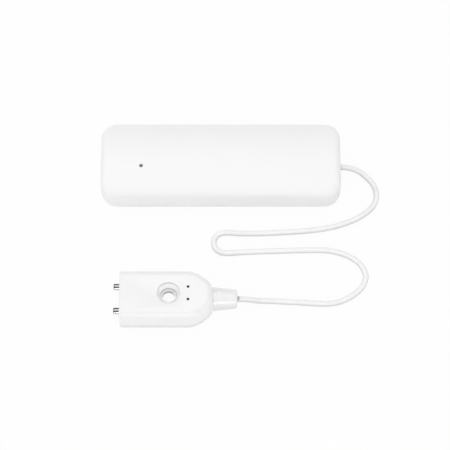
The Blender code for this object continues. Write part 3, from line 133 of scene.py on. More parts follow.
def deselect_all() -> None:
    """Leaves nothing selected, in object mode."""
    if bpy.context.mode != "OBJECT":
        bpy.ops.object.mode_set(mode="OBJECT")
    bpy.ops.object.select_all(action="DESELECT")


def make_active(piece: bpy.types.Object) -> None:
    """Selects one piece alone and makes it the active one.

    Args:
        piece: The piece that the next operator acts on.
    """
    deselect_all()
    piece.select_set(True)
    bpy.context.view_layer.objects.active = piece


def settle(name: str) -> bpy.types.Object:
    """Names the newest primitive and moves its place and size into its mesh.

    Args:
        name: Name of the piece.

    Returns:
        The piece, with its object at the origin.
    """
    piece = bpy.context.object
    piece.name = name
    piece.data.name = name
    bpy.ops.object.transform_apply(location=True, rotation=True, scale=True)
    return piece


def add_block(name: str, low: Vector, high: Vector) -> bpy.types.Object:
    """Adds a block between two corners.

    Args:
        name: Name of the piece.
        low: Lowest corner.
        high: Highest corner.

    Returns:
        The block.
    """
    deselect_all()
    bpy.ops.mesh.primitive_cube_add(size=1.0, location=(low + high) / 2, scale=high - low)
    return settle(name)


def add_rod(name: str, radius: float, start: Vector, end: Vector, steps: int = ROUND) -> bpy.types.Object:
    """Adds a round rod between two points.

    Args:
        name: Name of the piece.
        radius: Radius of the rod.
        start: Middle of its first end.
        end: Middle of its other end.
        steps: Sides of the rod.

    Returns:
        The rod.
    """
    deselect_all()
    along = end - start
    bpy.ops.mesh.primitive_cylinder_add(
        vertices=steps, radius=radius, depth=along.length, location=(start + end) / 2,
        rotation=along.to_track_quat("Z", "Y").to_euler())
    return settle(name)


def pick(piece: bpy.types.Object, part: Part, test: Callable[..., bool]) -> None:
    """Opens a piece in edit mode with only some of its elements selected.

    Args:
        piece: The piece to open.
        part: Kind of element to select.
        test: Tells of one element whether to select it.
    """
    make_active(piece)
    bpy.ops.object.mode_set(mode="EDIT")
    bpy.ops.mesh.select_mode(type=part.value)
    bpy.ops.mesh.select_all(action="DESELECT")
    mesh = bmesh.from_edit_mesh(piece.data)
    for element in {Part.VERTS: mesh.verts, Part.EDGES: mesh.edges, Part.FACES: mesh.faces}[part]:
        if test(element):
            element.select_set(True)
    bmesh.update_edit_mesh(piece.data)


def close_edit() -> None:
    """Goes back to object mode."""
    bpy.ops.object.mode_set(mode="OBJECT")


def bevel_edges(piece: bpy.types.Object, test: Callable[..., bool], width: float, steps: int) -> None:
    """Rounds the edges that a test picks.

    Args:
        piece: The piece to round.
        test: Tells of one edge whether to round it.
        width: Radius of a right-angled edge's round.
        steps: Facets of the round.
    """
    pick(piece, Part.EDGES, test)
    bpy.ops.mesh.bevel(offset=width, segments=steps, profile=0.5, affect="EDGES", clamp_overlap=False)
    close_edit()


def delete_faces(piece: bpy.types.Object, test: Callable[..., bool]) -> None:
    """Deletes the faces that a test picks.

    Args:
        piece: The piece to open up.
        test: Tells of one face whether to delete it.
    """
    pick(piece, Part.FACES, test)
    bpy.ops.mesh.delete(type="FACE")
    close_edit()


def cut_strips(piece: bpy.types.Object, places: Sequence[Vector], normal: Vector) -> None:
    """Cuts a piece's faces along planes, and keeps both sides.

    Args:
        piece: The piece to cut.
        places: One point of each plane.
        normal: Direction across the planes.
    """
    for place in places:
        pick(piece, Part.FACES, lambda face: True)
        bpy.ops.mesh.bisect(plane_co=place, plane_no=normal, threshold=NEAR)
        close_edit()


def heal(piece: bpy.types.Object) -> None:
    """Merges a closed mesh's doubled points and turns its faces outwards.

    Args:
        piece: The piece to mend.
    """
    pick(piece, Part.VERTS, lambda vert: True)
    bpy.ops.mesh.remove_doubles(threshold=NEAR)
    bpy.ops.mesh.normals_make_consistent(inside=False)
    close_edit()


def apply_modifier(piece: bpy.types.Object, kind: str, **settings: object) -> None:
    """Adds a modifier, sets it and applies it.

    Args:
        piece: The piece to change.
        kind: Type of the modifier.
        **settings: Values of its properties.
    """
    modifier = piece.modifiers.new(kind.lower(), kind)
    for key, value in settings.items():
        setattr(modifier, key, value)
    make_active(piece)
    bpy.ops.object.modifier_apply(modifier=modifier.name)


def combine(piece: bpy.types.Object, tool: bpy.types.Object, join: Join) -> None:
    """Adds a helper body to a piece or cuts it away, and removes the helper.

    Args:
        piece: The piece to change.
        tool: The helper body.
        join: What the helper does.
    """
    apply_modifier(piece, "BOOLEAN", object=tool, operation=join.value, solver="EXACT")
    bpy.data.objects.remove(tool, do_unlink=True)


def add_wall(piece: bpy.types.Object, thickness: float) -> None:
    """Gives an open skin a wall on its inner side.

    Args:
        piece: The skin.
        thickness: Thickness of the wall.
    """
    apply_modifier(piece, "SOLIDIFY", thickness=thickness, offset=-1.0, use_even_offset=True)


def smooth(piece: bpy.types.Object, degrees: float = 32.0) -> None:
    """Shades a piece smooth, apart from edges that turn by more than an angle.

    Args:
        piece: The piece to shade.
        degrees: The angle above which an edge stays sharp.
    """
    make_active(piece)
    bpy.ops.object.shade_smooth_by_angle(angle=math.radians(degrees))


def round_corner(centre: tuple[float, float], radius: float, start: float, end: float,
                 steps: int = 6) -> list[tuple[float, float]]:
    """Gives the points of an arc for a turned profile.

    Args:
        centre: Radius and height of the arc's middle.
        radius: Radius of the arc.
        start: Angle of its first point in degrees, from the outward direction up.
        end: Angle of its last point in degrees.
        steps: Chords in the arc.

    Returns:
        The points, as radius and height.
    """
    angles = [math.radians(start + (end - start) * step / steps) for step in range(steps + 1)]
    return [(centre[0] + radius * math.cos(angle), centre[1] + radius * math.sin(angle)) for angle in angles]


def turn_profile(name: str, profile: Profile, place: Vector, turn: Turn, steps: int = ROUND) -> bpy.types.Object:
    """Spins a profile into a closed round piece.

    Args:
        name: Name of the piece.
        profile: Points as radius and height, from one end of the piece to the other.
        place: Point on the axis where height is zero.
        turn: Axis to spin round.
        steps: Sides of the round.

    Returns:
        The piece.
    """
    points = [place + turn.axis * height + turn.across * radius for radius, height in profile]
    deselect_all()
    bpy.ops.mesh.primitive_plane_add(size=1.0, location=points[0])
    piece = settle(name)
    bpy.ops.object.mode_set(mode="EDIT")
    bpy.ops.mesh.select_mode(type="VERT")
    bpy.ops.mesh.select_all(action="SELECT")
    bpy.ops.mesh.merge(type="CENTER")
    for before, after in zip(points, points[1:]):
        bpy.ops.mesh.extrude_region_move(TRANSFORM_OT_translate={"value": after - before})
    bpy.ops.mesh.select_all(action="SELECT")
    bpy.ops.mesh.spin(steps=steps, angle=math.tau, center=place, axis=turn.axis)
    close_edit()
    heal(piece)
    return piece


def carry_inside(node: str, name: str, low: Vector, high: Vector) -> bpy.types.Object:
    """Copies what a frame node has inside a box, such as its ribs.

    Args:
        node: The frame's node.
        name: Name of the copy.
        low: Lowest corner of the box.
        high: Highest corner of the box.

    Returns:
        The copy, closed where the box cuts it.
    """
    copy = bpy.data.objects.new(name, bpy.data.objects[node].data.copy())
    bpy.context.scene.collection.objects.link(copy)
    pick(copy, Part.VERTS, lambda vert: True)
    bpy.ops.mesh.remove_doubles(threshold=NEAR)
    close_edit()
    combine(copy, add_block(name + "_box", low, high), Join.KEEP)
    return copy


def cut_slot(piece: bpy.types.Object, radius: float, start: Vector, end: Vector) -> None:
    """Cuts a slot through an end wall, round at the top and open below.

    Args:
        piece: The piece to cut.
        radius: Half of the slot's width.
        start: Middle of the round inside the wall.
        end: Middle of the round outside the wall.
    """
    combine(piece, add_rod("slot_top", radius, start, end), Join.CUT)
    leg = add_block("slot_leg", Vector((start.x, start.y - radius, 0.0)),
                    Vector((end.x, end.y + radius, start.z)))
    combine(piece, leg, Join.CUT)


def is_upright(edge: bmesh.types.BMEdge) -> bool:
    """Tells whether an edge is vertical."""
    first, second = (vert.co for vert in edge.verts)
    return (first.xy - second.xy).length < NEAR


def is_level(element: bmesh.types.BMEdge | bmesh.types.BMFace, z: float) -> bool:
    """Tells whether all of an edge or face lies at one height.

    Args:
        element: The edge or face.
        z: The height.

    Returns:
        True if every corner is there.
    """
    return all(abs(vert.co.z - z) < NEAR for vert in element.verts)


# Shader nodes


@dataclass
class NodeSheet:
    """A node tree with short calls to add and wire its nodes.

    Attributes:
        tree: The node tree.
    """

    tree: bpy.types.NodeTree

    def feed(self, entry: Socket, value: Feed) -> None:
        """Gives an input another node's output, or a fixed value.

        Args:
            entry: The input.
            value: The output or the value.
        """
        if isinstance(value, bpy.types.NodeSocket):
            self.tree.links.new(value, entry)
        else:
            entry.default_value = value

    def add(self, kind: str, inputs: Mapping[str | int, Feed] | None = None,
            **settings: object) -> bpy.types.Node:
        """Adds a node, sets its properties and feeds its inputs.

        Args:
            kind: Type of the node.
            inputs: What its inputs get, by their names or numbers.
            **settings: Values of its properties.

        Returns:
            The node.
        """
        node = self.tree.nodes.new(kind)
        for key, value in settings.items():
            setattr(node, key, value)
        for key, value in (inputs or {}).items():
            self.feed(node.inputs[key], value)
        return node

    def calculate(self, operation: str, *terms: Feed) -> Socket:
        """Calculates a number from sockets and fixed numbers."""
        return self.add("ShaderNodeMath", dict(enumerate(terms)), operation=operation).outputs["Value"]

    def ramp(self, value: Socket, low: float, high: float, to_low: float = 0.0, to_high: float = 1.0) -> Socket:
        """Maps a value's range to another range, without going past its ends.

        Args:
            value: Socket that holds the value.
            low: Value that becomes to_low.
            high: Value that becomes to_high.
            to_low: Result at the low end.
            to_high: Result at the high end.

        Returns:
            The socket that holds the result.
        """
        ends = {"Value": value, "From Min": low, "From Max": high, "To Min": to_low, "To Max": to_high}
        return self.add("ShaderNodeMapRange", ends, clamp=True).outputs["Result"]

    def blend(self, share: Socket, first: Feed, second: Colour) -> Socket:
        """Mixes two colours by a share.

        Args:
            share: Socket that holds the share of the second colour.
            first: Colour at a share of zero, or the socket that holds it.
            second: Colour at a share of one.

        Returns:
            The socket that holds the mixed colour.
        """
        if not isinstance(first, bpy.types.NodeSocket):
            first = (*first, 1.0)
        colours = {"Factor": share, MIX_FIRST: first, MIX_SECOND: (*second, 1.0)}
        return self.add("ShaderNodeMix", colours, data_type="RGBA", clamp_factor=True).outputs[MIX_RESULT]


class EffectGroups:
    """Node groups for effects that several finishes share, each built once."""

    def start(self, name: str, setting: str, value: float,
              outputs: Sequence[str]) -> tuple[NodeSheet, bpy.types.Node, bpy.types.Node]:
        """Opens a new group that takes coordinates and one setting.

        Args:
            name: Name of the group.
            setting: Name of the setting.
            value: Its value where a material gives none.
            outputs: Names of the outputs.

        Returns:
            The group's sheet, its input node and its output node.
        """
        tree = bpy.data.node_groups.new(name, "ShaderNodeTree")
        tree.interface.new_socket(name="Vector", in_out="INPUT", socket_type="NodeSocketVector")
        chosen = tree.interface.new_socket(name=setting, in_out="INPUT", socket_type="NodeSocketFloat")
        chosen.default_value = value
        for label in outputs:
            tree.interface.new_socket(name=label, in_out="OUTPUT", socket_type="NodeSocketFloat")
        sheet = NodeSheet(tree)
        return sheet, sheet.add("NodeGroupInput"), sheet.add("NodeGroupOutput")

    @cached_property
    def spark_grain(self) -> bpy.types.ShaderNodeTree:
        """Fine spark-eroded grain of moulded plastic, with a slow drift of tone.

        Returns:
            A group with outputs Height and Drift, from 0 to 1.
        """
        sheet, entry, leave = self.start("spark_grain", "Fineness", 5000.0, ("Height", "Drift"))
        where, fineness = entry.outputs["Vector"], entry.outputs["Fineness"]
        grain = sheet.add("ShaderNodeTexNoise",
                          {"Vector": where, "Scale": fineness, "Detail": 3.0, "Roughness": 0.6})
        pits = sheet.add("ShaderNodeTexVoronoi", {"Vector": where, "Scale": fineness, "Smoothness": 0.6},
                         feature="SMOOTH_F1")
        both = sheet.calculate("MULTIPLY_ADD", pits.outputs["Distance"], 0.45, grain.outputs["Fac"])
        sheet.feed(leave.inputs["Height"], sheet.ramp(both, 0.3, 1.0))
        drift = sheet.add("ShaderNodeTexNoise", {"Vector": where, "Scale": 45.0, "Detail": 2.0})
        sheet.feed(leave.inputs["Drift"], sheet.ramp(drift.outputs["Fac"], 0.3, 0.7))
        return sheet.tree

    @cached_property
    def handling(self) -> bpy.types.ShaderNodeTree:
        """Faint smudges where a surface was handled.

        Returns:
            A group with one output, Smudge, from 0 to 1.
        """
        sheet, entry, leave = self.start("handling", "Spread", 120.0, ("Smudge",))
        wide = sheet.add("ShaderNodeTexNoise",
                         {"Vector": entry.outputs["Vector"], "Scale": entry.outputs["Spread"], "Detail": 4.0,
                          "Distortion": 0.8})
        sheet.feed(leave.inputs["Smudge"], sheet.ramp(wide.outputs["Fac"], 0.48, 0.72))
        return sheet.tree

    @cached_property
    def edge_mask(self) -> bpy.types.ShaderNodeTree:
        """Mask of a surface's outer edges, broken up by noise.

        Returns:
            A group with one output, Mask, from 0 to 1.
        """
        sheet, entry, leave = self.start("edge_mask", "Start", 0.52, ("Mask",))
        shape = sheet.add("ShaderNodeNewGeometry")
        above = sheet.calculate("SUBTRACT", shape.outputs["Pointiness"], entry.outputs["Start"])
        breaks = sheet.add("ShaderNodeTexNoise", {"Vector": entry.outputs["Vector"], "Scale": 900.0})
        worn = sheet.calculate("MULTIPLY", sheet.ramp(above, 0.0, 0.06),
                               sheet.ramp(breaks.outputs["Fac"], 0.35, 0.6, 0.2, 1.0))
        sheet.feed(leave.inputs["Mask"], worn)
        return sheet.tree


GROUPS = EffectGroups()


# Finishes


@dataclass
class Surface:
    """A material in the making.

    Attributes:
        sheet: Its nodes.
        shader: Its Principled shader.
        where: Socket that holds Object coordinates.
        tilt: Socket that holds the surface's direction in the same axes.
    """

    sheet: NodeSheet
    shader: bpy.types.Node
    where: Socket
    tilt: Socket

    def give(self, inputs: Mapping[str, Feed]) -> None:
        """Wires sockets to the shader's inputs, or sets fixed values on them."""
        for name, value in inputs.items():
            self.sheet.feed(self.shader.inputs[name], value)

    def place(self, tree: bpy.types.ShaderNodeTree, **values: float) -> bpy.types.Node:
        """Places a shared group with its own values."""
        return self.sheet.add("ShaderNodeGroup", {"Vector": self.where, **values}, node_tree=tree)

    def bump(self, height: Socket, strength: float, depth: float) -> None:
        """Wires a height into the shader's normal.

        Args:
            height: Socket that holds the height, from 0 to 1.
            strength: Strength of the bump.
            depth: Depth that a height of 1 stands for.
        """
        bump = self.sheet.add("ShaderNodeBump", {"Strength": strength, "Distance": depth, "Height": height})
        self.give({"Normal": bump.outputs["Normal"]})

    def grade(self, tone: Socket, measure: Socket, steps: Steps) -> Socket:
        """Multiplies the tone by a factor that changes with a measure.

        Args:
            tone: Socket that holds the tone.
            measure: Socket that holds the measure.
            steps: Measures from 0 up, each with its factor.

        Returns:
            Socket that holds the changed tone.
        """
        reach = steps[-1][0]
        scale = self.sheet.add("ShaderNodeValToRGB", {"Fac": self.sheet.ramp(measure, 0.0, reach)})
        stops = scale.color_ramp.elements
        while len(stops) < len(steps):
            stops.new(1.0)
        for stop, (place, factor) in zip(stops, steps):
            stop.position = place / reach
            stop.color = (factor, factor, factor, 1.0)
        graded = self.sheet.add("ShaderNodeVectorMath", {0: tone, 1: scale.outputs["Color"]},
                                operation="MULTIPLY")
        return graded.outputs["Vector"]


@dataclass(frozen=True)
class Finish:
    """A finish that a piece can be given.

    Attributes:
        name: Name of the material.
        slot: Material slot of the record that it stands for.
        colour: Its main colour.
        roughness: Its mean roughness.
        recess: Axis in X and Y of a round recess. Light and shade are painted into the tone in rings round it.
        rings: Distances from that axis, each with what the tone is multiplied by: above one is painted light,
            below one painted shade.
        painted_shade: Shares of the way up a round section, each with what the tone is multiplied by, for
            painted shade on its lower flanks.
    """

    name: str
    slot: str
    colour: Colour
    roughness: float
    recess: tuple[float, float] | None = None
    rings: Steps = ()
    painted_shade: Steps = ()

    def shade(self, surface: Surface) -> None:
        """Feeds the shader with the finish's patterns."""
        raise NotImplementedError

    def tinted(self, factor: float) -> Colour:
        """The main colour made lighter or darker by a factor."""
        return tuple(min(1.0, value * factor) for value in self.colour)

    def paint_light_and_shade(self, surface: Surface, tone: Socket) -> Socket:
        """Paints light and shade into the tone, in rings round a recess and on the lower flanks, where the
        finish says so.

        Args:
            surface: The material in the making.
            tone: Socket that holds the tone.

        Returns:
            Socket that holds the changed tone.
        """
        sheet = surface.sheet
        # Painted light and shade: the tone is multiplied in rings round the axis
        if self.recess:
            flat = sheet.add("ShaderNodeVectorMath", {0: surface.where, 1: (1.0, 1.0, 0.0)},
                             operation="MULTIPLY")
            away = sheet.add("ShaderNodeVectorMath", {0: flat.outputs["Vector"], 1: (*self.recess, 0.0)},
                             operation="DISTANCE")
            tone = surface.grade(tone, away.outputs["Value"], self.rings)
        # Painted shade: the tone is darker where the surface faces further down
        if self.painted_shade:
            tilt = sheet.add("ShaderNodeSeparateXYZ", {"Vector": surface.tilt})
            tone = surface.grade(tone, sheet.ramp(tilt.outputs["Z"], -1.0, 1.0), self.painted_shade)
        return tone

    def material(self) -> bpy.types.Material:
        """Makes the material, or finds it if it is already made.

        Returns:
            The material.
        """
        known = bpy.data.materials.get(self.name)
        if known is not None:
            return known
        made = bpy.data.materials.new(self.name)
        made.use_nodes = True
        made.diffuse_color = (*self.colour, 1.0)
        sheet = NodeSheet(made.node_tree)
        places = sheet.add("ShaderNodeTexCoord").outputs
        surface = Surface(sheet, made.node_tree.nodes["Principled BSDF"], places["Object"], places["Normal"])
        surface.give({"Base Color": made.diffuse_color, "Roughness": self.roughness})
        self.shade(surface)
        return made


@dataclass(frozen=True)
class Moulded(Finish):
    """Plastic moulded in a spark-eroded tool.

    Attributes:
        fineness: How many grains there are in a metre.
        depth: Depth of the grain.
        drift: How far the tone drifts from place to place.
        coat: Weight of the clear skin that the tool leaves.
    """

    fineness: float = 5200.0
    depth: float = 0.00002
    drift: float = 0.012
    coat: float = 0.0

    def shade(self, surface: Surface) -> None:
        """Gives the grain, the drift of tone and faint shiny smudges.

        Args:
            surface: The material in the making.
        """
        grain = surface.place(GROUPS.spark_grain, Fineness=self.fineness).outputs
        smudge = surface.place(GROUPS.handling, Spread=90.0).outputs["Smudge"]
        tone = surface.sheet.blend(grain["Drift"], self.tinted(1.0 - self.drift), self.colour)
        # The base colour carries the finish's painted light and shade
        surface.give({
            "Base Color": self.paint_light_and_shade(surface, tone),
            "Roughness": surface.sheet.calculate("MULTIPLY_ADD", smudge, -0.05, self.roughness),
            "Coat Weight": self.coat, "Coat Roughness": 0.2, "IOR": 1.49})
        surface.bump(grain["Height"], 0.35, self.depth)


@dataclass(frozen=True)
class SoftPlastic(Finish):
    """Soft extruded or moulded plastic, matt and slightly waxy.

    Attributes:
        fineness: How many grains there are in a metre.
        depth: Depth of the grain.
        coat: Weight of the waxy skin.
    """

    fineness: float = 3600.0
    depth: float = 0.000015
    coat: float = 0.0

    def shade(self, surface: Surface) -> None:
        """Gives fine grain and slow changes of tone and roughness.

        Args:
            surface: The material in the making.
        """
        grain = surface.place(GROUPS.spark_grain, Fineness=self.fineness).outputs
        smudge = surface.place(GROUPS.handling, Spread=220.0).outputs["Smudge"]
        tone = surface.sheet.blend(smudge, self.colour, self.tinted(0.96))
        low, high = self.roughness - 0.06, self.roughness + 0.06
        # The base colour carries the finish's painted light and shade
        surface.give({
            "Base Color": self.paint_light_and_shade(surface, tone),
            "Roughness": surface.sheet.ramp(grain["Drift"], 0.0, 1.0, low, high),
            "Coat Weight": self.coat, "Coat Roughness": 0.22})
        surface.bump(grain["Height"], 0.3, self.depth)


@dataclass(frozen=True)
class Plated(Finish):
    """Plated metal with the fine rings or streaks that its making left.

    Attributes:
        direction: Bands across this axis of the object: X, Y or Z.
        pitch: Bands in a metre.
        depth: Depth of the bands.
    """

    direction: str = "X"
    pitch: float = 9000.0
    depth: float = 0.000004

    def shade(self, surface: Surface) -> None:
        """Gives the tool's rings, brighter edges and handled patches.

        Args:
            surface: The material in the making.
        """
        bands = surface.sheet.add(
            "ShaderNodeTexWave",
            {"Vector": surface.where, "Scale": self.pitch / math.tau, "Distortion": 1.2, "Detail": 2.0},
            wave_type="BANDS", bands_direction=self.direction)
        edge = surface.place(GROUPS.edge_mask, Start=0.53).outputs["Mask"]
        smudge = surface.place(GROUPS.handling, Spread=700.0).outputs["Smudge"]
        surface.give({
            "Base Color": surface.sheet.blend(edge, self.colour, self.tinted(1.12)),
            "Roughness": surface.sheet.ramp(smudge, 0.0, 1.0, self.roughness, self.roughness + 0.08),
            "Metallic": 1.0})
        surface.bump(bands.outputs["Fac"], 0.25, self.depth)


@dataclass(frozen=True)
class CircuitBoard(Finish):
    """Solder mask over copper tracks.

    Attributes:
        track: Colour where copper lies under the mask.
        bare: Colour of the bare plated pads.
    """

    track: Colour = (0.05, 0.32, 0.12)
    bare: Colour = (0.78, 0.70, 0.48)

    def shade(self, surface: Surface) -> None:
        """Gives raised tracks, small round pads and the mask's drift of tone.

        Args:
            surface: The material in the making.
        """
        sheet = surface.sheet
        tracks = sheet.add("ShaderNodeTexBrick", {"Vector": surface.where, "Scale": 900.0, "Mortar Size": 0.06,
                                                  "Mortar Smooth": 0.2}, offset=0.5, squash=1.0).outputs["Fac"]
        spots = sheet.add("ShaderNodeTexVoronoi", {"Vector": surface.where, "Scale": 620.0, "Randomness": 0.7},
                          feature="F1")
        pads = sheet.ramp(spots.outputs["Distance"], 0.16, 0.2, 1.0, 0.0)
        smudge = surface.place(GROUPS.handling, Spread=300.0).outputs["Smudge"]
        masked = sheet.blend(tracks, sheet.blend(smudge, self.colour, self.tinted(0.8)), self.track)
        surface.give({"Base Color": sheet.blend(pads, masked, self.bare), "Metallic": pads, "Coat Weight": 0.3})
        surface.bump(tracks, 0.5, 0.00003)


@dataclass(frozen=True)
class CellJacket(Finish):
    """Printed jacket of a cell, whose steel ends stay bare.

    Attributes:
        steel: Colour of the bare ends.
        middle: Place along X of the cell's middle.
        half: Half of the jacket's length.
        edge: Length over which the jacket's shrunk end gives way to the steel.
    """

    steel: Colour = (0.62, 0.62, 0.60)
    middle: float = 0.0
    half: float = 0.02
    edge: float = 0.0001

    def shade(self, surface: Surface) -> None:
        """Gives the jacket's length, its shrunk ends and its faint ripples.

        Args:
            surface: The material in the making.
        """
        sheet = surface.sheet
        along = sheet.add("ShaderNodeSeparateXYZ", {"Vector": surface.where}).outputs["X"]
        away = sheet.calculate("ABSOLUTE", sheet.calculate("SUBTRACT", along, self.middle))
        bare = sheet.ramp(away, self.half, self.half + self.edge)
        noise = sheet.add("ShaderNodeTexNoise", {"Vector": surface.where, "Scale": 260.0, "Detail": 2.0})
        ripple = noise.outputs["Fac"]
        jacket = sheet.blend(ripple, self.colour, self.tinted(1.5))
        surface.give({"Base Color": sheet.blend(bare, jacket, self.steel), "Metallic": bare})
        surface.bump(ripple, 0.2, 0.00004)


@dataclass(frozen=True)
class SmokedLens(Finish):
    """Dark clear plastic of the light's window, cloudy inside."""

    def shade(self, surface: Surface) -> None:
        """Gives a cloudy depth under a glossy skin.

        Args:
            surface: The material in the making.
        """
        cloud = surface.sheet.add("ShaderNodeTexNoise",
                                  {"Vector": surface.where, "Scale": 2400.0, "Detail": 3.0})
        surface.give({"Base Color": surface.sheet.blend(cloud.outputs["Fac"], self.colour, self.tinted(1.6)),
                      "Coat Weight": 0.6, "Coat Roughness": 0.06})
        surface.bump(cloud.outputs["Fac"], 0.1, 0.00001)


WHITE = (0.90, 0.90, 0.90)
HOLE_AXIS = (-0.0187, -0.0535)
SLEEVE_MOUTH = (0.0060, -0.0535)
# Painted light and shade in the dish round the screw hole, by the distance from its axis: lighter walls, with
# dark lines at the seat's step and under the rim
DISH_PAINTED_LIGHT_AND_SHADE = ((0.0, 1.12), (0.00285, 1.12), (0.00292, 0.9), (0.00298, 0.9), (0.00305, 1.12), (0.00400, 1.12),
              (0.00406, 0.78), (0.004105, 0.78), (0.00412, 1.0))
# Painted shade on the cord where it leaves the sleeve, by the distance from the mouth
EXIT_PAINTED_SHADE = ((0.0, 0.55), (0.0007, 0.6), (0.0011, 1.0))
# Painted shade: the cord and the sleeve are greyer where they face further down, by the share of the way up
CORD_PAINTED_SHADE = ((0.0, 0.68), (0.38, 0.70), (0.60, 0.74), (0.71, 0.79), (0.82, 0.87), (0.905, 0.95), (0.95, 1.0),
             (1.0, 1.0))
SLEEVE_PAINTED_SHADE = ((0.0, 0.78), (0.50, 0.80), (0.67, 0.86), (0.80, 0.94), (0.89, 0.98), (0.97, 1.0), (1.0, 1.0))
WHITE_SHELL = Moulded("satin_white_shell", "white_shell", WHITE, 0.55)
# The probe's white is a darker copy of the shell's white, painted shade that makes the probe render darker
WHITE_PROBE = Moulded("satin_white_probe", "white_shell", (0.88, 0.88, 0.88), 0.34, fineness=4400.0, coat=0.3,
                     recess=HOLE_AXIS, rings=DISH_PAINTED_LIGHT_AND_SHADE)
WHITE_CORD = SoftPlastic("white_cord_jacket", "white_soft", WHITE, 0.34, depth=0.000005, coat=0.1,
                         recess=SLEEVE_MOUTH, rings=EXIT_PAINTED_SHADE, painted_shade=CORD_PAINTED_SHADE)
WHITE_SLEEVE = SoftPlastic("white_sleeve", "white_soft", WHITE, 0.38, fineness=2600.0, depth=0.000006, coat=1.0,
                           painted_shade=SLEEVE_PAINTED_SHADE)
BRIGHT_PIN = Plated("bright_turned_pin", "bright_nickel", (0.76, 0.75, 0.73), 0.06)
SPRING_WIRE = Plated("drawn_spring_wire", "bright_nickel", (0.70, 0.69, 0.67), 0.24, pitch=6000.0)
PRESSED_NICKEL = Plated("pressed_nickel", "bright_nickel", (0.72, 0.71, 0.68), 0.28, direction="Z", pitch=4000.0)
SHIELD_CAN = Plated("radio_can", "bright_nickel", (0.70, 0.69, 0.67), 0.32, direction="Y", pitch=2500.0)
ZINC_SCREW = Plated("zinc_screw", "zinc_steel", (0.58, 0.60, 0.62), 0.36, direction="Z", pitch=5000.0)
CAPACITOR_CAN = Plated("capacitor_can", "zinc_steel", (0.66, 0.66, 0.67), 0.30, direction="Z", pitch=1500.0)
DARK_STUD = Plated("dark_stud", "dark_nickel", (0.06, 0.06, 0.065), 0.50, direction="Z", pitch=5000.0)
GREEN_BOARD = CircuitBoard("green_board", "green_board", (0.02, 0.17, 0.06), 0.36)
BLACK_CHIP = Moulded("black_chip", "black_moulding", (0.022, 0.022, 0.024), 0.55, fineness=9000.0, drift=0.3)
BLACK_SWITCH = Moulded("black_switch", "black_moulding", (0.03, 0.03, 0.03), 0.42, fineness=7000.0, drift=0.2)
CREAM_PLASTIC = Moulded("cream_connector", "cream_moulding", (0.80, 0.76, 0.66), 0.44, fineness=6500.0,
                        drift=0.06)
LAMP = Moulded("lamp_lens", "lamp_yellow", (0.85, 0.75, 0.35), 0.25, fineness=3000.0, drift=0.1, coat=0.5)
RED_CORE = SoftPlastic("red_core", "red_wire", (0.60, 0.03, 0.03), 0.40, fineness=5000.0)
BLACK_CORE = SoftPlastic("black_core", "black_wire", (0.03, 0.03, 0.03), 0.42, fineness=5000.0)
CELL_JACKET = CellJacket("cell_jacket", "cell_jacket", (0.06, 0.075, 0.09), 0.33)
SMOKED_TIP = SmokedLens("smoked_light_tip", "smoked_clear", (0.15, 0.15, 0.16), 0.14)


def dress(piece: bpy.types.Object, finish: Finish) -> None:
    """Gives a piece one finish.

    Args:
        piece: The piece or frame node.
        finish: Its finish.
    """
    piece.data.materials.clear()
    piece.data.materials.append(finish.material())


def hand_in(piece: bpy.types.Object, finish: Finish, node: str) -> None:
    """Dresses a new piece, lets it ride on the sensor and stand for a frame node.

    Args:
        piece: The piece.
        finish: Its finish.
        node: The node that it replaces.
    """
    dress(piece, finish)
    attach(piece, BODY)
    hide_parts(node)
    LOG.info("%s: %d faces", piece.name, len(piece.data.polygons) if piece.type == "MESH" else 0)


# Main unit


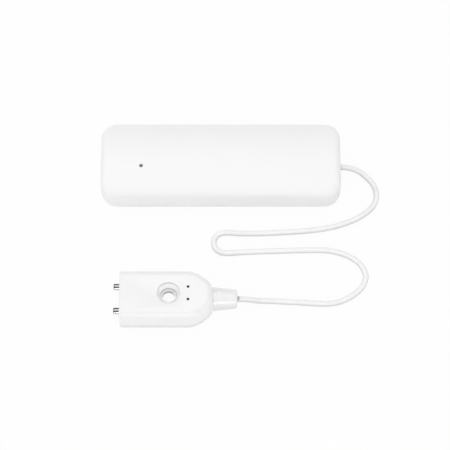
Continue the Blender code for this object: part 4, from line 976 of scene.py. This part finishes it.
@dataclass
class MainUnit:
    """Alarm unit: a crowned front cover on a flat back, with a light's tip and the cord's bush.

    Attributes:
        corner: Radius of the front cover's corners, seen from the front.
        shoulder: Radius between its sides and its front.
        crown: Height that the crown adds at the middle line.
        light_tip: Radius of the light pipe's tip.
        light_shaft: Radius of the light pipe's shaft.
        wall: Thickness of its walls.
        rim_edge: Round of the front cover's lower edge.
        strips: Strips that the crown is made of.
        chamfer: Chamfer of the back cover's edge.
        boss_start: Height of the light's boss over the light pipe's foot.
        boss_wall: Thickness of that boss round its bore.
        bush_neck: Radius of the cord's bush where it stands in the wall.
        notch: Half width of the pry notch.
        notch_depth: How far the notch goes in and up.
        notch_round: Radius of the notch's edges.
        catches: Places of the catches along X.
        catch: Half length of a catch's pocket.
        catch_low: Lowest height of a pocket.
        catch_high: Highest height of a pocket.
        catch_depth: How far a pocket goes into the wall.
        rib_inset: Distance of the ribs from the back plate's edge.
        fit: Play round pieces that pass through a wall.
    """

    corner: float = 0.0060
    shoulder: float = 0.0024
    crown: float = 0.0036
    light_tip: float = 0.00055
    light_shaft: float = 0.0008
    wall: float = 0.0015
    rim_edge: float = 0.00025
    strips: int = 36
    chamfer: float = 0.0005
    boss_start: float = 0.0011
    boss_wall: float = 0.001
    bush_neck: float = 0.0017
    notch: float = 0.0016
    notch_depth: float = 0.0009
    notch_round: float = 0.0003
    catches: tuple[float, ...] = (-0.024, 0.024)
    catch: float = 0.0028
    catch_low: float = 0.0046
    catch_high: float = 0.0061
    catch_depth: float = 0.0006
    rib_inset: float = 0.0015
    fit: float = 0.00015

    def __post_init__(self) -> None:
        """Reads the unit's places from the frame."""
        self.low, self.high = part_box("front_cover")
        self.shoulder_z = self.high.z - self.crown
        self.pipe_low, self.pipe_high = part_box("light_pipe")
        self.light = (self.pipe_low + self.pipe_high) / 2
        self.bush_low, self.bush_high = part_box("cord_grommet")
        self.exit_z = (self.bush_low.z + self.bush_high.z) / 2

    def lift(self, y: float) -> float:
        """Height that the crown adds over the shoulder at a distance from the middle line."""
        return self.crown * (1.0 - (y / self.high.y) ** 2)

    def raise_crown(self, cover: bpy.types.Object) -> None:
        """Lifts the cover's front with a cage, from nothing at the sides to the crown's full height.

        Args:
            cover: The skin of the front cover.
        """
        deselect_all()
        start = self.shoulder_z - self.shoulder
        bpy.ops.object.add(type="LATTICE", location=(0.0, 0.0, start + self.shoulder / 2))
        cage = bpy.context.object
        cage.scale = (self.high.x - self.low.x, self.high.y - self.low.y, self.shoulder)
        cage.data.points_u = 2
        cage.data.points_v = 2 * self.strips + 1
        cage.data.points_w = 2
        for way in "uvw":
            setattr(cage.data, f"interpolation_type_{way}", "KEY_LINEAR")
        for point in cage.data.points:
            if point.co.z > 0.0:
                point.co_deform.z += self.lift(point.co.y * cage.scale.y) / cage.scale.z
        bpy.context.view_layer.update()
        apply_modifier(cover, "LATTICE", object=cage)
        bpy.data.objects.remove(cage, do_unlink=True)

    def build_front_cover(self) -> None:
        """Models the crowned front cover, with the light's boss, the cord's slot and the pry notch."""
        cover = add_block("front_shell", self.low, Vector((self.high.x, self.high.y, self.shoulder_z)))
        bevel_edges(cover, is_upright, self.corner, BROAD_EDGE)
        bevel_edges(cover, lambda edge: is_level(edge, self.shoulder_z), self.shoulder, MEDIUM_EDGE)
        delete_faces(cover, lambda face: is_level(face, self.low.z))
        half = self.high.y - self.shoulder
        places = [Vector((0.0, -half + 2 * half * step / self.strips, 0.0)) for step in range(1, self.strips)]
        cut_strips(cover, places, Vector((0.0, 1.0, 0.0)))
        self.raise_crown(cover)
        add_wall(cover, self.wall)
        bevel_edges(cover, lambda edge: is_level(edge, self.low.z) and not edge.is_boundary
                    and all(abs(v.co.x) > self.high.x - NEAR or abs(v.co.y) > self.high.y - NEAR
                            or self.on_outer_corner(v.co) for v in edge.verts), self.rim_edge, FINE_EDGE)
        self.open_for_light(cover)
        self.open_for_cord(cover)
        self.add_catches(cover)
        smooth(cover)
        hand_in(cover, WHITE_SHELL, "front_cover")

    def on_outer_corner(self, point: Vector) -> bool:
        """Tells whether a point lies on the outer round of one of the cover's corners."""
        middle = Vector((self.high.x - self.corner, self.high.y - self.corner))
        return abs((Vector((abs(point.x), abs(point.y))) - middle).length - self.corner) < 10 * NEAR

    def open_for_light(self, cover: bpy.types.Object) -> None:
        """Adds the boss over the light pipe and bores it through the crown.

        Args:
            cover: The front cover.
        """
        x, y = self.light.xy
        top = self.shoulder_z + self.lift(y)
        ceiling = top - self.wall
        shaft = self.light_shaft + self.fit
        boss_low = self.pipe_low.z + self.boss_start
        boss = add_rod("boss", shaft + self.boss_wall, Vector((x, y, boss_low)),
                       Vector((x, y, ceiling + self.wall / 2)))
        combine(cover, boss, Join.ADD)
        bore = add_rod("bore", shaft, Vector((x, y, boss_low - self.wall)), Vector((x, y, ceiling)))
        combine(cover, bore, Join.CUT)
        hole = add_rod("hole", self.light_tip + self.fit, Vector((x, y, ceiling - self.wall)),
                       Vector((x, y, top + self.wall)), SMALL_ROUND)
        combine(cover, hole, Join.CUT)

    def open_for_cord(self, cover: bpy.types.Object) -> None:
        """Cuts the slot that the cord's bush fills, and the notch for opening the unit.

        Args:
            cover: The front cover.
        """
        cut_slot(cover, self.bush_neck + self.fit, Vector((self.high.x - 2 * self.wall, 0.0, self.exit_z)),
                 Vector((self.high.x + self.wall, 0.0, self.exit_z)))
        notch = add_block("notch", Vector((-self.notch, self.low.y - self.wall, 0.0)),
                          Vector((self.notch, self.low.y + self.notch_depth, self.low.z + self.notch_depth)))
        bevel_edges(notch, lambda edge: abs(edge.verts[0].co.y - edge.verts[1].co.y) > self.wall
                    and edge.verts[0].co.z > self.low.z, self.notch_round, SMALL_EDGE)
        combine(cover, notch, Join.CUT)

    def add_catches(self, cover: bpy.types.Object) -> None:
        """Cuts the pockets that the back cover's hooks snap into.

        Args:
            cover: The front cover.
        """
        inner = self.high.y - self.wall
        for x in self.catches:
            for side in (-1.0, 1.0):
                edges = sorted((side * (inner - SEAM), side * (inner + self.catch_depth)))
                pocket = add_block("pocket", Vector((x - self.catch, edges[0], self.catch_low)),
                                   Vector((x + self.catch, edges[1], self.catch_high)))
                combine(cover, pocket, Join.CUT)

    def build_back_cover(self) -> None:
        """Models the back plate with its chamfer, and sets the frame's ribs on it."""
        low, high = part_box("back_cover")
        top = self.low.z - SEAM
        plate = add_block("back_plate", low, Vector((high.x, high.y, top)))
        bevel_edges(plate, is_upright, self.corner - (self.high.x - high.x), BROAD_EDGE)
        bevel_edges(plate, lambda edge: is_level(edge, low.z), self.chamfer, FINE_EDGE)
        inset = Vector((self.rib_inset, self.rib_inset, 0.0))
        ribs = carry_inside("back_cover", "ribs", Vector((low.x, low.y, top - LIP_OVERLAP)) + inset,
                            Vector((high.x, high.y, high.z + self.wall)) - inset)
        combine(plate, ribs, Join.ADD)
        smooth(plate)
        hand_in(plate, WHITE_SHELL, "back_cover")

    def build_light_tip(self) -> None:
        """Models the light pipe with a domed tip just under the crown."""
        height = self.pipe_high.z - self.pipe_low.z
        shoulder = self.shoulder_z + self.lift(self.light.y) - self.wall - SEAM - self.pipe_low.z
        tip = self.light_tip
        shaft = self.light_shaft
        foot, foot_height = 0.0015, 0.0008
        falls = ((0.0, 0.0), (0.5, 0.00003), (0.85, 0.0001), (1.0, 0.0002))
        dome = [(tip * share, height - fall) for share, fall in falls]
        profile = [*dome, (tip, shoulder), (shaft, shoulder), (shaft, foot_height), (foot, foot_height),
                   (foot, 0.0), (0.0, 0.0)]
        place = Vector((*self.light.xy, self.pipe_low.z))
        pipe = turn_profile("light_tip", profile, place, Turn.UPRIGHT, MEDIUM_ROUND)
        smooth(pipe)
        hand_in(pipe, SMOKED_TIP, "light_pipe")

    def build_bush(self) -> None:
        """Models the cord's bush, with a rounded mouth in the end wall."""
        face = self.bush_high.x
        bore = CORD_RADIUS + self.fit
        neck = self.bush_neck
        flange = (self.bush_high.y - self.bush_low.y) / 2
        mouth = 0.0004
        wall_face = -self.wall - self.fit
        mouth_arc = round_corner((bore + mouth, -mouth), mouth, 180.0, 90.0)
        end = self.bush_low.x - face
        profile = [*mouth_arc, (neck, 0.0), (neck, wall_face), (flange, wall_face), (flange, end), (bore, end),
                   mouth_arc[0]]
        bush = turn_profile("cord_bush", profile, Vector((face, 0.0, self.exit_z)), Turn.ALONG_X)
        smooth(bush)
        hand_in(bush, WHITE_SLEEVE, "cord_grommet")

    def build(self) -> None:
        """Builds the unit's outer pieces in order."""
        self.build_front_cover()
        self.build_back_cover()
        self.build_light_tip()
        self.build_bush()


# Probe


@dataclass
class Probe:
    """Remote probe: a filleted housing with a screw hole and two pins, its base and its sleeve.

    Attributes:
        wall: Thickness of the walls.
        fillet: Radius between the sides and the top.
        corner: Radius of the corners of the tapered end, seen from above.
        taper: Length of the tapered end.
        end_width: Width of the tapered end's face.
        end_edge: Radius of the edges round the end wall that the pins stand in.
        hole_x: Place of the screw hole along X.
        hole: Radius of the screw hole.
        dish: Radius of the dished recess at its rim.
        dish_step: Depth of its upright rim.
        dish_depth: Depth of the dish.
        seat: Radius of the flat seat for the screw's head.
        seat_depth: Depth of the seat.
        bell: Radius of the space that is open below the hole.
        bell_room: Height between the bell's roof and the board.
        seat_rise: How far the sleeve's seat stands out of the end wall.
        rim_gap: Height of the seat's foot above the housing's rim.
        tube: Thickness of the walls round the hole.
        drip_hole: Radius of the holes over the drip contacts.
        rim_round: Radius of the dish's rim.
        pin: Radius of a contact pin.
        neck: Radius of the sleeve where it stands in the wall.
        base_edge: Radius of the base's lower edge.
        lip_inset: Distance of the lip from the base's edge.
        fit: Play round pieces that pass through a wall.
    """

    wall: float = 0.0015
    fillet: float = 0.0024
    corner: float = 0.0025
    taper: float = 0.0065
    end_width: float = 0.0088
    end_edge: float = 0.0007
    hole_x: float = HOLE_AXIS[0]
    hole: float = 0.0022
    dish: float = 0.0041
    dish_step: float = 0.0009
    dish_depth: float = 0.0026
    seat: float = 0.00295
    seat_depth: float = 0.0034
    bell: float = 0.0049
    bell_room: float = 0.0007
    seat_rise: float = 0.0001
    rim_gap: float = 0.0003
    tube: float = 0.0011
    drip_hole: float = 0.00055
    rim_round: float = 0.00015
    pin: float = 0.0013
    neck: float = 0.0024
    base_edge: float = 0.0006
    lip_inset: float = 0.0010
    fit: float = 0.00015

    def __post_init__(self) -> None:
        """Reads the probe's places from the frame."""
        self.low, self.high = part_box("probe_housing")
        self.y = (self.low.y + self.high.y) / 2
        self.sleeve_low, self.sleeve_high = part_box("strain_relief")
        self.axis_z = (self.sleeve_low.z + self.sleeve_high.z) / 2
        self.roof_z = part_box("probe_board")[0].z - self.bell_room - self.tube

    def build_outline(self, name: str, low_z: float, high_z: float) -> bpy.types.Object:
        """Models a block with the probe's tapered outline.

        Args:
            name: Name of the piece.
            low_z: Height of its underside.
            high_z: Height of its top.

        Returns:
            The block.
        """
        block = add_block(name, Vector((self.low.x, self.low.y, low_z)),
                          Vector((self.high.x, self.high.y, high_z)))
        start = self.high.x - self.taper
        cut_strips(block, [Vector((start, 0.0, 0.0))], Vector((1.0, 0.0, 0.0)))
        pick(block, Part.VERTS, lambda vert: abs(vert.co.x - self.high.x) < NEAR)
        narrow = self.end_width / (self.high.y - self.low.y)
        bpy.ops.transform.resize(value=(1.0, narrow, 1.0), center_override=(self.high.x, self.y, 0.0))
        close_edit()
        pick(block, Part.EDGES, lambda edge: all(abs(v.co.x - start) < NEAR for v in edge.verts)
             and not is_upright(edge))
        bpy.ops.mesh.dissolve_edges(use_verts=False)
        close_edit()
        bevel_edges(block, lambda edge: is_upright(edge) and edge.verts[0].co.x > start - NEAR,
                    self.corner, MEDIUM_EDGE)
        return block

    def at_pins(self, edge: bmesh.types.BMEdge) -> bool:
        """Tells whether an edge lies in the end wall that the pins stand in."""
        return all(abs(vert.co.x - self.low.x) < NEAR for vert in edge.verts)

    def build_housing(self) -> None:
        """Models the housing: filleted skin, walls, screw tube, and its holes."""
        housing = self.build_outline("probe_shell", self.low.z, self.high.z)
        bevel_edges(housing, lambda edge: is_level(edge, self.high.z) and not self.at_pins(edge),
                    self.fillet, BROAD_EDGE)
        bevel_edges(housing, lambda edge: self.at_pins(edge) and not is_level(edge, self.low.z),
                    self.end_edge, NARROW_EDGE)
        delete_faces(housing, lambda face: is_level(face, self.low.z))
        add_wall(housing, self.wall)
        self.bore_screw_hole(housing)
        self.add_sleeve_seat(housing)
        self.pierce_walls(housing)
        smooth(housing)
        hand_in(housing, WHITE_PROBE, "probe_housing")

    def turn_on_hole(self, name: str, profile: Profile) -> bpy.types.Object:
        """Turns a profile round the screw hole's axis.

        Args:
            name: Name of the body.
            profile: Points as radius and height above the floor.

        Returns:
            The body.
        """
        return turn_profile(name, profile, Vector((self.hole_x, self.y, 0.0)), Turn.UPRIGHT, LARGE_ROUND)

    def dish_radius(self, z: float) -> float:
        """Radius of the dish at a height."""
        slope = (self.dish - self.seat) / (self.dish_depth - self.dish_step)
        return min(max(self.dish + (z - self.high.z + self.dish_step) * slope, self.seat), self.dish)

    def bore_screw_hole(self, housing: bpy.types.Object) -> None:
        """Adds the boss under the top, and cuts the dish, the seat, the hole and the bell through it.

        Args:
            housing: The probe's housing.
        """
        cup_top = self.high.z - self.wall / 2
        neck_z = self.high.z - self.dish_depth
        cup = self.seat + self.tube
        bell = self.bell + self.tube
        bell_top = self.roof_z + self.tube
        boss = self.turn_on_hole("boss", [
            (0.0, cup_top), (self.dish_radius(cup_top) + self.tube, cup_top), (cup, neck_z), (cup, bell_top),
            (bell, bell_top), (bell, self.low.z), (0.0, self.low.z)])
        combine(housing, boss, Join.ADD)
        above = self.high.z + self.wall
        seat_z = self.high.z - self.seat_depth
        space = self.turn_on_hole("space", [
            (0.0, above), (self.dish, above), (self.dish, self.high.z - self.dish_step), (self.seat, neck_z),
            (self.seat, seat_z), (self.hole, seat_z), (self.hole, self.roof_z), (self.bell, self.roof_z),
            (self.bell, -self.wall), (0.0, -self.wall)])
        combine(housing, space, Join.CUT)
        bevel_edges(housing, self.is_dish_rim, self.rim_round, FINE_EDGE)

    def is_dish_rim(self, edge: bmesh.types.BMEdge) -> bool:
        """Tells whether an edge is part of the dish's rim."""
        middle = Vector((self.hole_x, self.y))
        return is_level(edge, self.high.z) and all(
            abs((vert.co.xy - middle).length - self.dish) < 20 * NEAR for vert in edge.verts)

    def add_sleeve_seat(self, housing: bpy.types.Object) -> None:
        """Fills the rounded end wall out to a flat round seat behind the sleeve's collar.

        Args:
            housing: The probe's housing.
        """
        radius = (self.sleeve_high.z - self.sleeve_low.z) / 2
        start = Vector((self.high.x - self.wall / 2, self.y, self.axis_z))
        end = Vector((self.high.x + self.seat_rise, self.y, self.axis_z))
        seat = add_rod("sleeve_seat", radius, start, end, LARGE_ROUND)
        foot = add_block("seat_foot", Vector((start.x - self.wall, self.y - 2 * radius, 0.0)),
                         Vector((end.x + self.wall, self.y + 2 * radius, self.low.z + self.rim_gap)))
        combine(seat, foot, Join.CUT)
        combine(housing, seat, Join.ADD)

    def pierce_walls(self, housing: bpy.types.Object) -> None:
        """Cuts the holes for the pins, the drip contacts and the sleeve.

        Args:
            housing: The probe's housing.
        """
        through = 3 * self.wall
        for number in (1, 2):
            low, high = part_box(f"contact_pin_{number}")
            middle = (low + high) / 2
            start = Vector((self.low.x - self.wall, middle.y, middle.z))
            end = start + Vector((through, 0.0, 0.0))
            hole = add_rod("pin_hole", self.pin + self.fit, start, end, MEDIUM_ROUND)
            combine(housing, hole, Join.CUT)
            low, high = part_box(f"drip_contact_{number}")
            middle = (low + high) / 2
            top = Vector((middle.x, middle.y, self.high.z + self.wall))
            hole = add_rod("drip_hole", self.drip_hole, top - Vector((0.0, 0.0, through)), top, SMALL_ROUND)
            combine(housing, hole, Join.CUT)
        cut_slot(housing, self.neck + 2 * self.fit, Vector((self.high.x - 2 * self.wall, self.y, self.axis_z)),
                 Vector((self.high.x + self.wall, self.y, self.axis_z)))

    def build_base(self) -> None:
        """Models the base plate with its chamfer, and sets the frame's lip on it."""
        low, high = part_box("probe_base")
        top = self.low.z - SEAM
        plate = self.build_outline("probe_plate", low.z, top)
        bevel_edges(plate, lambda edge: self.at_pins(edge) and is_upright(edge), self.end_edge, NARROW_EDGE)
        bevel_edges(plate, lambda edge: is_level(edge, low.z), self.base_edge, FINE_EDGE)
        opening = self.turn_on_hole("opening", [(0.0, top + self.wall), (self.bell, top + self.wall),
                                                (self.bell, -self.wall), (0.0, -self.wall)])
        combine(plate, opening, Join.CUT)
        inset = Vector((self.lip_inset, self.lip_inset, 0.0))
        lip = carry_inside("probe_base", "lip", Vector((low.x, low.y, top - LIP_OVERLAP)) + inset,
                           Vector((high.x, high.y, high.z + self.wall)) - inset)
        combine(plate, lip, Join.ADD)
        smooth(plate)
        hand_in(plate, WHITE_PROBE, "probe_base")

    def build_pins(self) -> None:
        """Turns the two contact pins, with rounded noses and a shoulder inside the wall."""
        for number in (1, 2):
            low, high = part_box(f"contact_pin_{number}")
            middle = (low + high) / 2
            radius = self.pin
            shoulder = (high.y - low.y) / 2
            length = high.x - low.x
            inside = self.low.x - low.x + self.wall + SEAM
            nose = 0.0004
            ring = inside + 0.0008
            profile = [(0.0, 0.0), *round_corner((radius - nose, nose), nose, 270.0, 360.0), (radius, inside),
                       (shoulder, inside), (shoulder, ring), (radius, ring), (radius, length), (0.0, length)]
            place = Vector((low.x, middle.y, middle.z))
            pin = turn_profile(f"bright_pin_{number}", profile, place, Turn.ALONG_X)
            smooth(pin)
            hand_in(pin, BRIGHT_PIN, f"contact_pin_{number}")

    def build_sleeve(self) -> None:
        """Turns the soft sleeve round the cord, with its collar, neck and flange."""
        base = (self.sleeve_high.z - self.sleeve_low.z) / 2
        clear = 0.00003
        face = self.high.x + self.seat_rise + clear
        length = self.sleeve_high.x - face
        tip, tip_round = 0.0035, 0.0010
        lean = 8.0
        collar, step, foot_round = 0.0012, 0.0001, 0.00012
        bore, mouth, bore_end = CORD_RADIUS + self.fit, 0.0003, length - CORD_SINK
        neck, flange = self.neck, 0.0031
        flange_right = -self.wall - 2 * SEAM
        flange_left = self.sleeve_low.x - face
        profile = [(0.0, bore_end), (bore, bore_end),
                   *round_corner((bore + mouth, length - mouth), mouth, 180.0, 90.0),
                   *round_corner((tip - tip_round, length - tip_round), tip_round, 90.0, lean, MEDIUM_EDGE),
                   *round_corner((base - step / 2, collar + step / 2), step / 2, 180.0, 270.0, FINE_EDGE),
                   *round_corner((base - step / 2, collar - step / 2), step / 2, 90.0, 0.0, FINE_EDGE),
                   *round_corner((base - foot_round, foot_round), foot_round, 0.0, -90.0),
                   (neck, 0.0), (neck, flange_right), (flange, flange_right), (flange, flange_left),
                   (0.0, flange_left)]
        place = Vector((face, self.y, self.axis_z))
        sleeve = turn_profile("cord_sleeve", profile, place, Turn.ALONG_X, LARGE_ROUND)
        smooth(sleeve, degrees=40.0)
        hand_in(sleeve, WHITE_SLEEVE, "strain_relief")

    def build(self) -> None:
        """Builds the probe's outer pieces in order."""
        self.build_housing()
        self.build_base()
        self.build_pins()
        self.build_sleeve()


# Cord


@dataclass
class ProbeCord:
    """The thin cord between the main unit and the probe, lying on the floor in its loops.

    Attributes:
        diameter: Its diameter.
        step: Distance between the drawn points.
        facets: Blender's resolution of its round section.
        start_x: Place of its end inside the main unit's bush.
        route: Points that its middle line passes through.
    """

    diameter: float = 0.0021
    step: float = 0.0007
    facets: int = 6
    start_x: float = 0.04387
    route: list[tuple[float, float, float]] = field(default_factory=list)

    def __post_init__(self) -> None:
        """Lays out the cord's route, as the frame has it."""
        floor = CORD_RADIUS
        exit_z = sum(corner.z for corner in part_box("cord_grommet")) / 2
        probe_z = sum(corner.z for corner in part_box("strain_relief")) / 2
        self.route = [
            (0.0443, 0.0, exit_z), (0.0465, 0.0001, 0.0034), (0.0490, 0.0000, 0.0024),
            (0.0515, -0.0008, 0.0014), (0.0537, -0.0025, floor), (0.0564, -0.0060, floor),
            (0.0574, -0.0099, floor), (0.0566, -0.0135, floor), (0.0545, -0.0163, floor),
            (0.0511, -0.0189, floor), (0.0472, -0.0209, floor), (0.0402, -0.0232, floor),
            (0.0308, -0.0246, floor), (0.0168, -0.0255, floor), (0.0075, -0.0256, floor),
            (0.0016, -0.0253, floor), (-0.0014, -0.0265, floor), (-0.0026, -0.0294, floor),
            (-0.0014, -0.0323, floor), (0.0016, -0.0335, floor), (0.0075, -0.0332, floor),
            (0.0168, -0.0328, floor), (0.0289, -0.0324, floor), (0.0377, -0.0324, floor),
            (0.0424, -0.0332, floor), (0.0471, -0.0351, floor), (0.0507, -0.0380, floor),
            (0.0526, -0.0419, floor), (0.0522, -0.0451, floor), (0.0503, -0.0482, floor),
            (0.0466, -0.0512, floor), (0.0420, -0.0531, floor), (0.0373, -0.0536, floor),
            (0.0281, -0.0531, floor), (0.0200, -0.0527, 0.0012), (0.0140, -0.0530, 0.0024),
            (0.0100, -0.0533, 0.0042), (0.0063, -0.0535, probe_z),
        ]

    def smooth_line(self) -> list[Vector]:
        """Gives close points on a smooth line through the route.

        Returns:
            The points, with the straight stretches inside the bush and the sleeve.
        """
        knots = [Vector(point) for point in self.route]
        knots = [2 * knots[0] - knots[1], *knots, 2 * knots[-1] - knots[-2]]
        line = [Vector((self.start_x, 0.0, knots[1].z))]
        for before, first, second, after in zip(knots, knots[1:], knots[2:], knots[3:]):
            count = max(2, round((second - first).length / self.step))
            for index in range(count):
                t = index / count
                line.append(0.5 * (2 * first + (second - before) * t
                                   + (2 * before - 5 * first + 4 * second - after) * t ** 2
                                   + (3 * first - before - 3 * second + after) * t ** 3))
        last = knots[-2]
        return [*line, last, last + Vector((-CORD_SINK, 0.0, 0.0))]

    def build(self) -> None:
        line = self.smooth_line()
        curve = bpy.data.curves.new("probe_lead", "CURVE")
        curve.dimensions = "3D"
        curve.bevel_depth = self.diameter / 2
        curve.bevel_resolution = self.facets
        curve.use_fill_caps = True
        spline = curve.splines.new("POLY")
        spline.points.add(len(line) - 1)
        for point, place in zip(spline.points, line):
            point.co = (*place, 1.0)
        spline.use_smooth = True
        cord = bpy.data.objects.new("probe_lead", curve)
        bpy.context.scene.collection.objects.link(cord)
        hand_in(cord, WHITE_CORD, "probe_cord")


# What stays inside


@dataclass
class Inside:
    """The frame's own inner pieces, which keep their shapes and get their finishes.

    Attributes:
        cells: The battery cells' nodes, each with the name of its jacket.
        bare_end: Length of a cell's end that its jacket leaves bare.
        groups: Finishes, each with its nodes.
    """

    cells: tuple[tuple[str, str], ...] = (
        ("battery_cell_1", "cell_jacket_1"),
        ("battery_cell_2", "cell_jacket_2"),
    )
    bare_end: float = 0.0014
    groups: tuple[tuple[Finish, tuple[str, ...]], ...] = (
        (ZINC_SCREW, ("board_screw_1", "board_screw_2", "clamp_screw_1", "clamp_screw_2")),
        (CAPACITOR_CAN, ("supply_capacitor",)),
        (GREEN_BOARD, ("main_board", "radio_module", "probe_board")),
        (SHIELD_CAN, ("radio_shield",)),
        (BLACK_CHIP, ("power_chip",)),
        (BLACK_SWITCH, ("switch_body",)),
        (CREAM_PLASTIC, ("pairing_button", "cord_socket", "cord_plug")),
        (LAMP, ("status_led",)),
        (PRESSED_NICKEL, ("negative_contact", "positive_contact", "link_contact")),
        (SPRING_WIRE, ("negative_spring", "link_spring")),
        (DARK_STUD, ("drip_contact_1", "drip_contact_2")),
        (WHITE_SHELL, ("cord_clamp",)),
        (WHITE_CORD, ("cord_tail",)),
        (RED_CORE, ("cord_core_1", "probe_core_1")),
        (BLACK_CORE, ("cord_core_2", "probe_core_2")),
    )

    def make_jacket(self, node: str, name: str) -> CellJacket:
        """Makes a cell's jacket, set to the middle of its cell.

        Args:
            node: The cell's node.
            name: Name of the material.

        Returns:
            The finish.
        """
        low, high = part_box(node)
        half = (high.x - low.x) / 2 - self.bare_end
        return replace(CELL_JACKET, name=name, middle=(low.x + high.x) / 2, half=half)

    def build(self, nodes: dict[str, bpy.types.Object]) -> None:
        """Dresses the inner nodes.

        Args:
            nodes: The frame's nodes by name.
        """
        for node, name in self.cells:
            dress(nodes[node], self.make_jacket(node, name))
        for finish, names in self.groups:
            for name in names:
                dress(nodes[name], finish)


# Studio


@dataclass
class SoftBox:
    """A flat lamp that points at the sensor.

    Attributes:
        name: Name of the lamp.
        place: Where it hangs.
        width: Its level side.
        height: Its other side.
        power: Its power in watts.
        mirrored: Whether it shows in reflections.
    """

    name: str
    place: Vector
    width: float
    height: float
    power: float
    mirrored: bool = True


@dataclass
class Studio:
    """White floor, soft lamps and the camera.

    Attributes:
        target: Point that the camera looks at.
        elevation: Angle of the camera above the floor, in degrees.
        distance: Distance of the camera from its target.
        lens: Focal length in millimetres.
        sensor: Width of the camera's sensor in millimetres.
        reach: Nearest and farthest distance that the camera sees.
        floor_side: Side of the square floor.
        floor_drop: How far the floor lies under the feet, so that the two don't meet.
        paper: Tone of the floor.
        world: Strength of the light from all round.
        mirrored: Strength of the same light in reflections, where the dark studio shows between lamps.
        paper_glow: Share of plain white that the floor shows to the camera. The rest keeps the shadow.
        aim: Point that the lamps face.
        lamps: The soft lamps.
    """

    target: Vector = field(default_factory=lambda: Vector((0.00155, -0.0240, 0.0050)))
    elevation: float = 65.0
    distance: float = 0.9125
    lens: float = 200.0
    sensor: float = 36.0
    reach: tuple[float, float] = (0.01, 20.0)
    floor_side: float = 6.0
    floor_drop: float = 0.00005
    paper: Colour = (0.80, 0.80, 0.80)
    world: float = 0.665
    mirrored: float = 0.02
    paper_glow: float = 0.95
    aim: Vector = field(default_factory=lambda: Vector((0.0, -0.03, 0.0)))
    lamps: tuple[SoftBox, ...] = (
        SoftBox("back", Vector((0.0, 0.45, 0.55)), 0.75, 0.75, 0.83, mirrored=False),
        SoftBox("overhead", Vector((0.0, 0.10, 0.68)), 0.38, 0.38, 0.70),
        SoftBox("front", Vector((0.06, -0.60, 0.25)), 0.40, 0.13, 0.94),
        SoftBox("left", Vector((-0.60, -0.03, 0.26)), 0.40, 0.40, 0.72),
        SoftBox("right", Vector((0.60, -0.03, 0.26)), 0.40, 0.40, 0.35),
    )

    def build_camera(self) -> None:
        """Places the camera at the photograph's viewing angle."""
        angle = math.radians(self.elevation)
        back = Vector((0.0, -math.cos(angle), math.sin(angle)))
        lens = bpy.data.cameras.new("camera")
        lens.lens = self.lens
        lens.sensor_width = self.sensor
        lens.clip_start, lens.clip_end = self.reach
        camera = bpy.data.objects.new("camera", lens)
        camera.location = self.target + back * self.distance
        camera.rotation_euler = (-back).to_track_quat("-Z", "Y").to_euler()
        bpy.context.scene.collection.objects.link(camera)
        bpy.context.scene.camera = camera

    def build_floor(self) -> None:
        """Lays the white floor, which shows white to the camera and keeps a faint shadow."""
        deselect_all()
        bpy.ops.mesh.primitive_plane_add(size=self.floor_side, location=(0.0, 0.0, -self.floor_drop))
        floor = settle("floor")
        paint = bpy.data.materials.new("floor_paper")
        paint.use_nodes = True
        paint.node_tree.nodes.clear()
        sheet = NodeSheet(paint.node_tree)
        paper = sheet.add("ShaderNodeBsdfDiffuse", {"Color": (*self.paper, 1.0)})
        glow = sheet.add("ShaderNodeEmission", {"Color": WHITE_LIGHT, "Strength": 1.0})
        path = sheet.add("ShaderNodeLightPath").outputs
        seen = sheet.calculate("MAXIMUM", path["Is Camera Ray"], path["Is Glossy Ray"])
        through = sheet.calculate("MAXIMUM", seen, path["Is Transmission Ray"])
        mix = sheet.add("ShaderNodeMixShader", {"Fac": sheet.ramp(through, 0.0, 1.0, 0.0, self.paper_glow),
                                                1: paper.outputs["BSDF"], 2: glow.outputs["Emission"]})
        sheet.add("ShaderNodeOutputMaterial", {"Surface": mix.outputs["Shader"]})
        floor.data.materials.append(paint)

    def build_lamps(self) -> None:
        """Hangs the soft lamps and lights the world evenly."""
        for lamp in self.lamps:
            light = bpy.data.lights.new(lamp.name, "AREA")
            light.shape = "RECTANGLE"
            light.size = lamp.width
            light.size_y = lamp.height
            light.energy = lamp.power
            holder = bpy.data.objects.new(lamp.name, light)
            holder.location = lamp.place
            holder.visible_glossy = lamp.mirrored
            holder.rotation_euler = (self.aim - lamp.place).to_track_quat("-Z", "Y").to_euler()
            bpy.context.scene.collection.objects.link(holder)
        world = bpy.data.worlds.new("studio")
        world.use_nodes = True
        sheet = NodeSheet(world.node_tree)
        sky = world.node_tree.nodes["Background"].inputs
        path = sheet.add("ShaderNodeLightPath").outputs
        seen = sheet.ramp(path["Is Camera Ray"], 0.0, 1.0, self.world, 1.0)
        mirrored = sheet.ramp(path["Is Glossy Ray"], 0.0, 1.0, 0.0, self.mirrored - self.world)
        sheet.feed(sky["Color"], WHITE_LIGHT)
        sheet.feed(sky["Strength"], sheet.calculate("ADD", seen, mirrored))
        bpy.context.scene.world = world

    def build(self) -> None:
        """Builds the studio."""
        bpy.context.scene.view_settings.view_transform = "Standard"
        self.build_camera()
        self.build_floor()
        self.build_lamps()


def main() -> None:
    """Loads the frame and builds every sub-assembly."""
    logging.basicConfig(level=logging.INFO, format="%(name)s: %(message)s")
    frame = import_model()
    Studio().build()
    ProbeCord().build()
    MainUnit().build()
    Probe().build()
    Inside().build(frame["nodes"])
    deselect_all()


if __name__ == "__main__":
    main()
